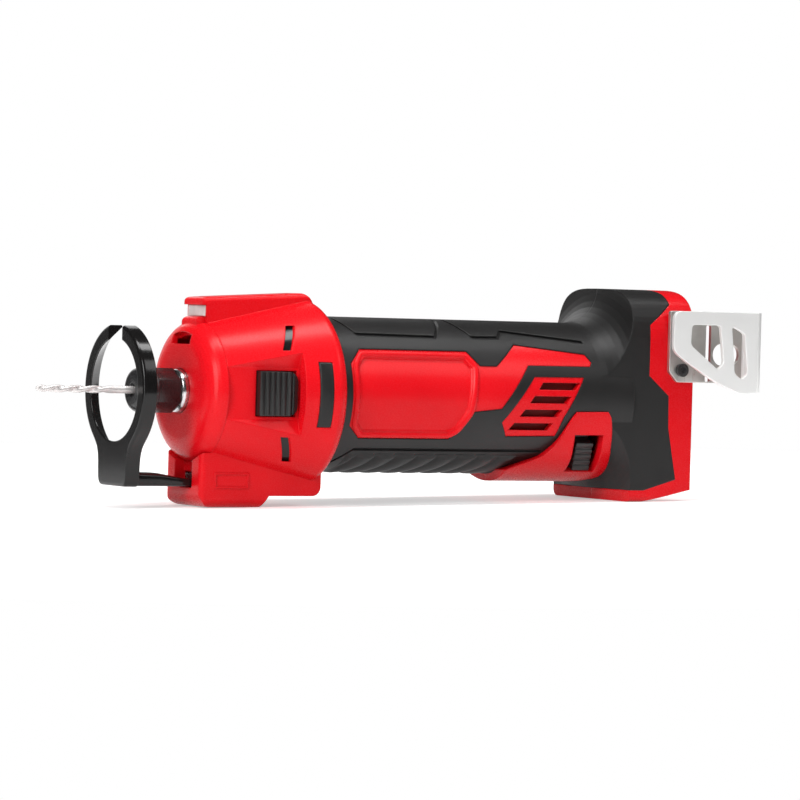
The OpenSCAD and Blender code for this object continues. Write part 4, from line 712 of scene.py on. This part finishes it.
def placeCamera(s):
    a, e, r = (math.radians(s[k]) for k in ("azimuth", "elevation", "roll"))
    back = Vector((math.sin(a) * math.cos(e), -math.cos(a) * math.cos(e), math.sin(e)))
    right = Vector((math.cos(a), math.sin(a), 0.0))
    up = back.cross(right)
    right, up = right * math.cos(r) + up * math.sin(r), up * math.cos(r) - right * math.sin(r)
    # the aim point moves so that the target lands on its pixel with no lens shift
    shiftX = (s["pixelX"] - s["imageSize"] / 2) / s["focalPixels"] * s["distance"]
    shiftY = (s["pixelY"] - s["imageSize"] / 2) / s["focalPixels"] * s["distance"]
    aim = Vector((s["targetX"], 0, 0)) - right * shiftX + up * shiftY
    data = bpy.data.cameras.new("photoCamera")
    data.sensor_fit = "HORIZONTAL"
    data.sensor_width = s["sensor"]
    data.lens = s["focalPixels"] / s["imageSize"] * s["sensor"]
    data.clip_end = s["farClip"]
    camera = linkedPiece("photoCamera", data)
    basis = Matrix((right, up, back)).transposed().to_4x4()
    basis.translation = aim + back * s["distance"]
    camera.matrix_world = basis
    bpy.context.scene.camera = camera


placeCamera(cameraSettings)


def eitherRay(tree, first, second):
    either = tree.nodes.new("ShaderNodeMath")
    either.operation = "MAXIMUM"
    tree.links.new(first, either.inputs[0])
    tree.links.new(second, either.inputs[1])
    return either.outputs["Value"]


# the pale floor, with a glow that the camera and reflections see and the object doesn't
stageSettings = dict(centre=0.12, reach=0.6, spokes=64, chinX=16, chinZ=-48.05, footX=206, footZ=-44.25,
                     colour=(0.80, 0.80, 0.80), rough=0.9, glow=0.42)


def layFloor(s):
    # a disc in the plane z = low + slope * x that touches the chin and the foot
    slope = (s["footZ"] - s["chinZ"]) / (s["footX"] - s["chinX"])
    low = (s["chinZ"] - slope * s["chinX"]) * mm
    ring = fullTurn(s["spokes"])
    x = s["centre"] + s["reach"] * np.cos(ring)
    points = np.stack([x, s["reach"] * np.sin(ring), low + slope * x], -1)
    mesh = bpy.data.meshes.new("paleFloor")
    mesh.from_pydata(points.tolist(), [], [tuple(range(s["spokes"]))])
    floor = linkedPiece("paleFloor", mesh)
    paint, tree, shader = newFinish("floorPaint", {})
    shader.inputs["Base Color"].default_value = (*s["colour"], 1)
    shader.inputs["Roughness"].default_value = s["rough"]
    shader.inputs["Emission Color"].default_value = (1, 1, 1, 1)
    rays = tree.nodes.new("ShaderNodeLightPath").outputs
    seen = eitherRay(tree, rays["Is Camera Ray"], rays["Is Glossy Ray"])
    seen = eitherRay(tree, seen, rays["Is Transmission Ray"])
    strength = tree.nodes.new("ShaderNodeMapRange")
    strength.inputs["To Max"].default_value = s["glow"]
    tree.links.new(seen, strength.inputs["Value"])
    tree.links.new(strength.outputs["Result"], shader.inputs["Emission Strength"])
    mesh.materials.append(paint)


layFloor(stageSettings)

lampAim = Vector((0.1, 0, 0))
lampSettings = [
    dict(name="keySoft", place=(-1.3, -0.9, 0.9), size=0.8, power=11),
    dict(name="topStrip", place=(0.1, -0.2, 1.4), size=1.8, height=0.35, power=19),
    dict(name="frontStrip", place=(-1.35, -0.8, 0.45), size=0.3, height=1.4, power=9),
    dict(name="sideFill", place=(0.9, -1.0, 1.0), size=0.6, power=3),
    dict(name="backRim", place=(0.4, 1.4, 0.9), size=1.0, power=4),
]


def hangLamp(s):
    data = bpy.data.lights.new(s["name"], "AREA")
    data.shape = "RECTANGLE" if "height" in s else "DISK"
    data.size = s["size"]
    data.size_y = s.get("height", s["size"])
    data.energy = s["power"]
    lamp = linkedPiece(s["name"], data)
    lamp.location = s["place"]
    lamp.rotation_euler = (lampAim - Vector(s["place"])).to_track_quat("-Z", "Y").to_euler()


for lampEntry in lampSettings:
    hangLamp(lampEntry)

# a white backdrop behind the object and a dimmer room in front of it, as reflections see them
worldSettings = dict(onObject=0.34, shown=1.0, room=0.04, roomEdge=0.86, backdropEdge=1.0)


def studioWorld(s):
    world = bpy.data.worlds.new("studio")
    bpy.context.scene.world = world
    world.use_nodes = True
    tree = world.node_tree
    sky = tree.nodes["Background"]
    sky.inputs["Color"].default_value = (1, 1, 1, 1)
    direction = tree.nodes.new("ShaderNodeTexCoord")
    axes = tree.nodes.new("ShaderNodeSeparateXYZ")
    tree.links.new(direction.outputs["Generated"], axes.inputs["Vector"])
    room = tree.nodes.new("ShaderNodeMapRange")
    room.interpolation_type = "SMOOTHSTEP"
    room.inputs["From Min"].default_value = s["roomEdge"]
    room.inputs["From Max"].default_value = s["backdropEdge"]
    room.inputs["To Min"].default_value = s["room"]
    room.inputs["To Max"].default_value = s["shown"]
    tree.links.new(axes.outputs["Y"], room.inputs["Value"])
    rays = tree.nodes.new("ShaderNodeLightPath").outputs
    mirrored = eitherRay(tree, rays["Is Glossy Ray"], rays["Is Transmission Ray"])
    lit = tree.nodes.new("ShaderNodeMix")
    lit.inputs["A"].default_value = s["onObject"]
    tree.links.new(mirrored, lit.inputs["Factor"])
    tree.links.new(room.outputs["Result"], lit.inputs["B"])
    seen = tree.nodes.new("ShaderNodeMix")
    seen.inputs["B"].default_value = s["shown"]
    tree.links.new(rays["Is Camera Ray"], seen.inputs["Factor"])
    tree.links.new(lit.outputs["Result"], seen.inputs["A"])
    tree.links.new(seen.outputs["Result"], sky.inputs["Strength"])


studioWorld(worldSettings)
bpy.context.scene.view_settings.view_transform = "Standard"
print("camera, floor and light set")
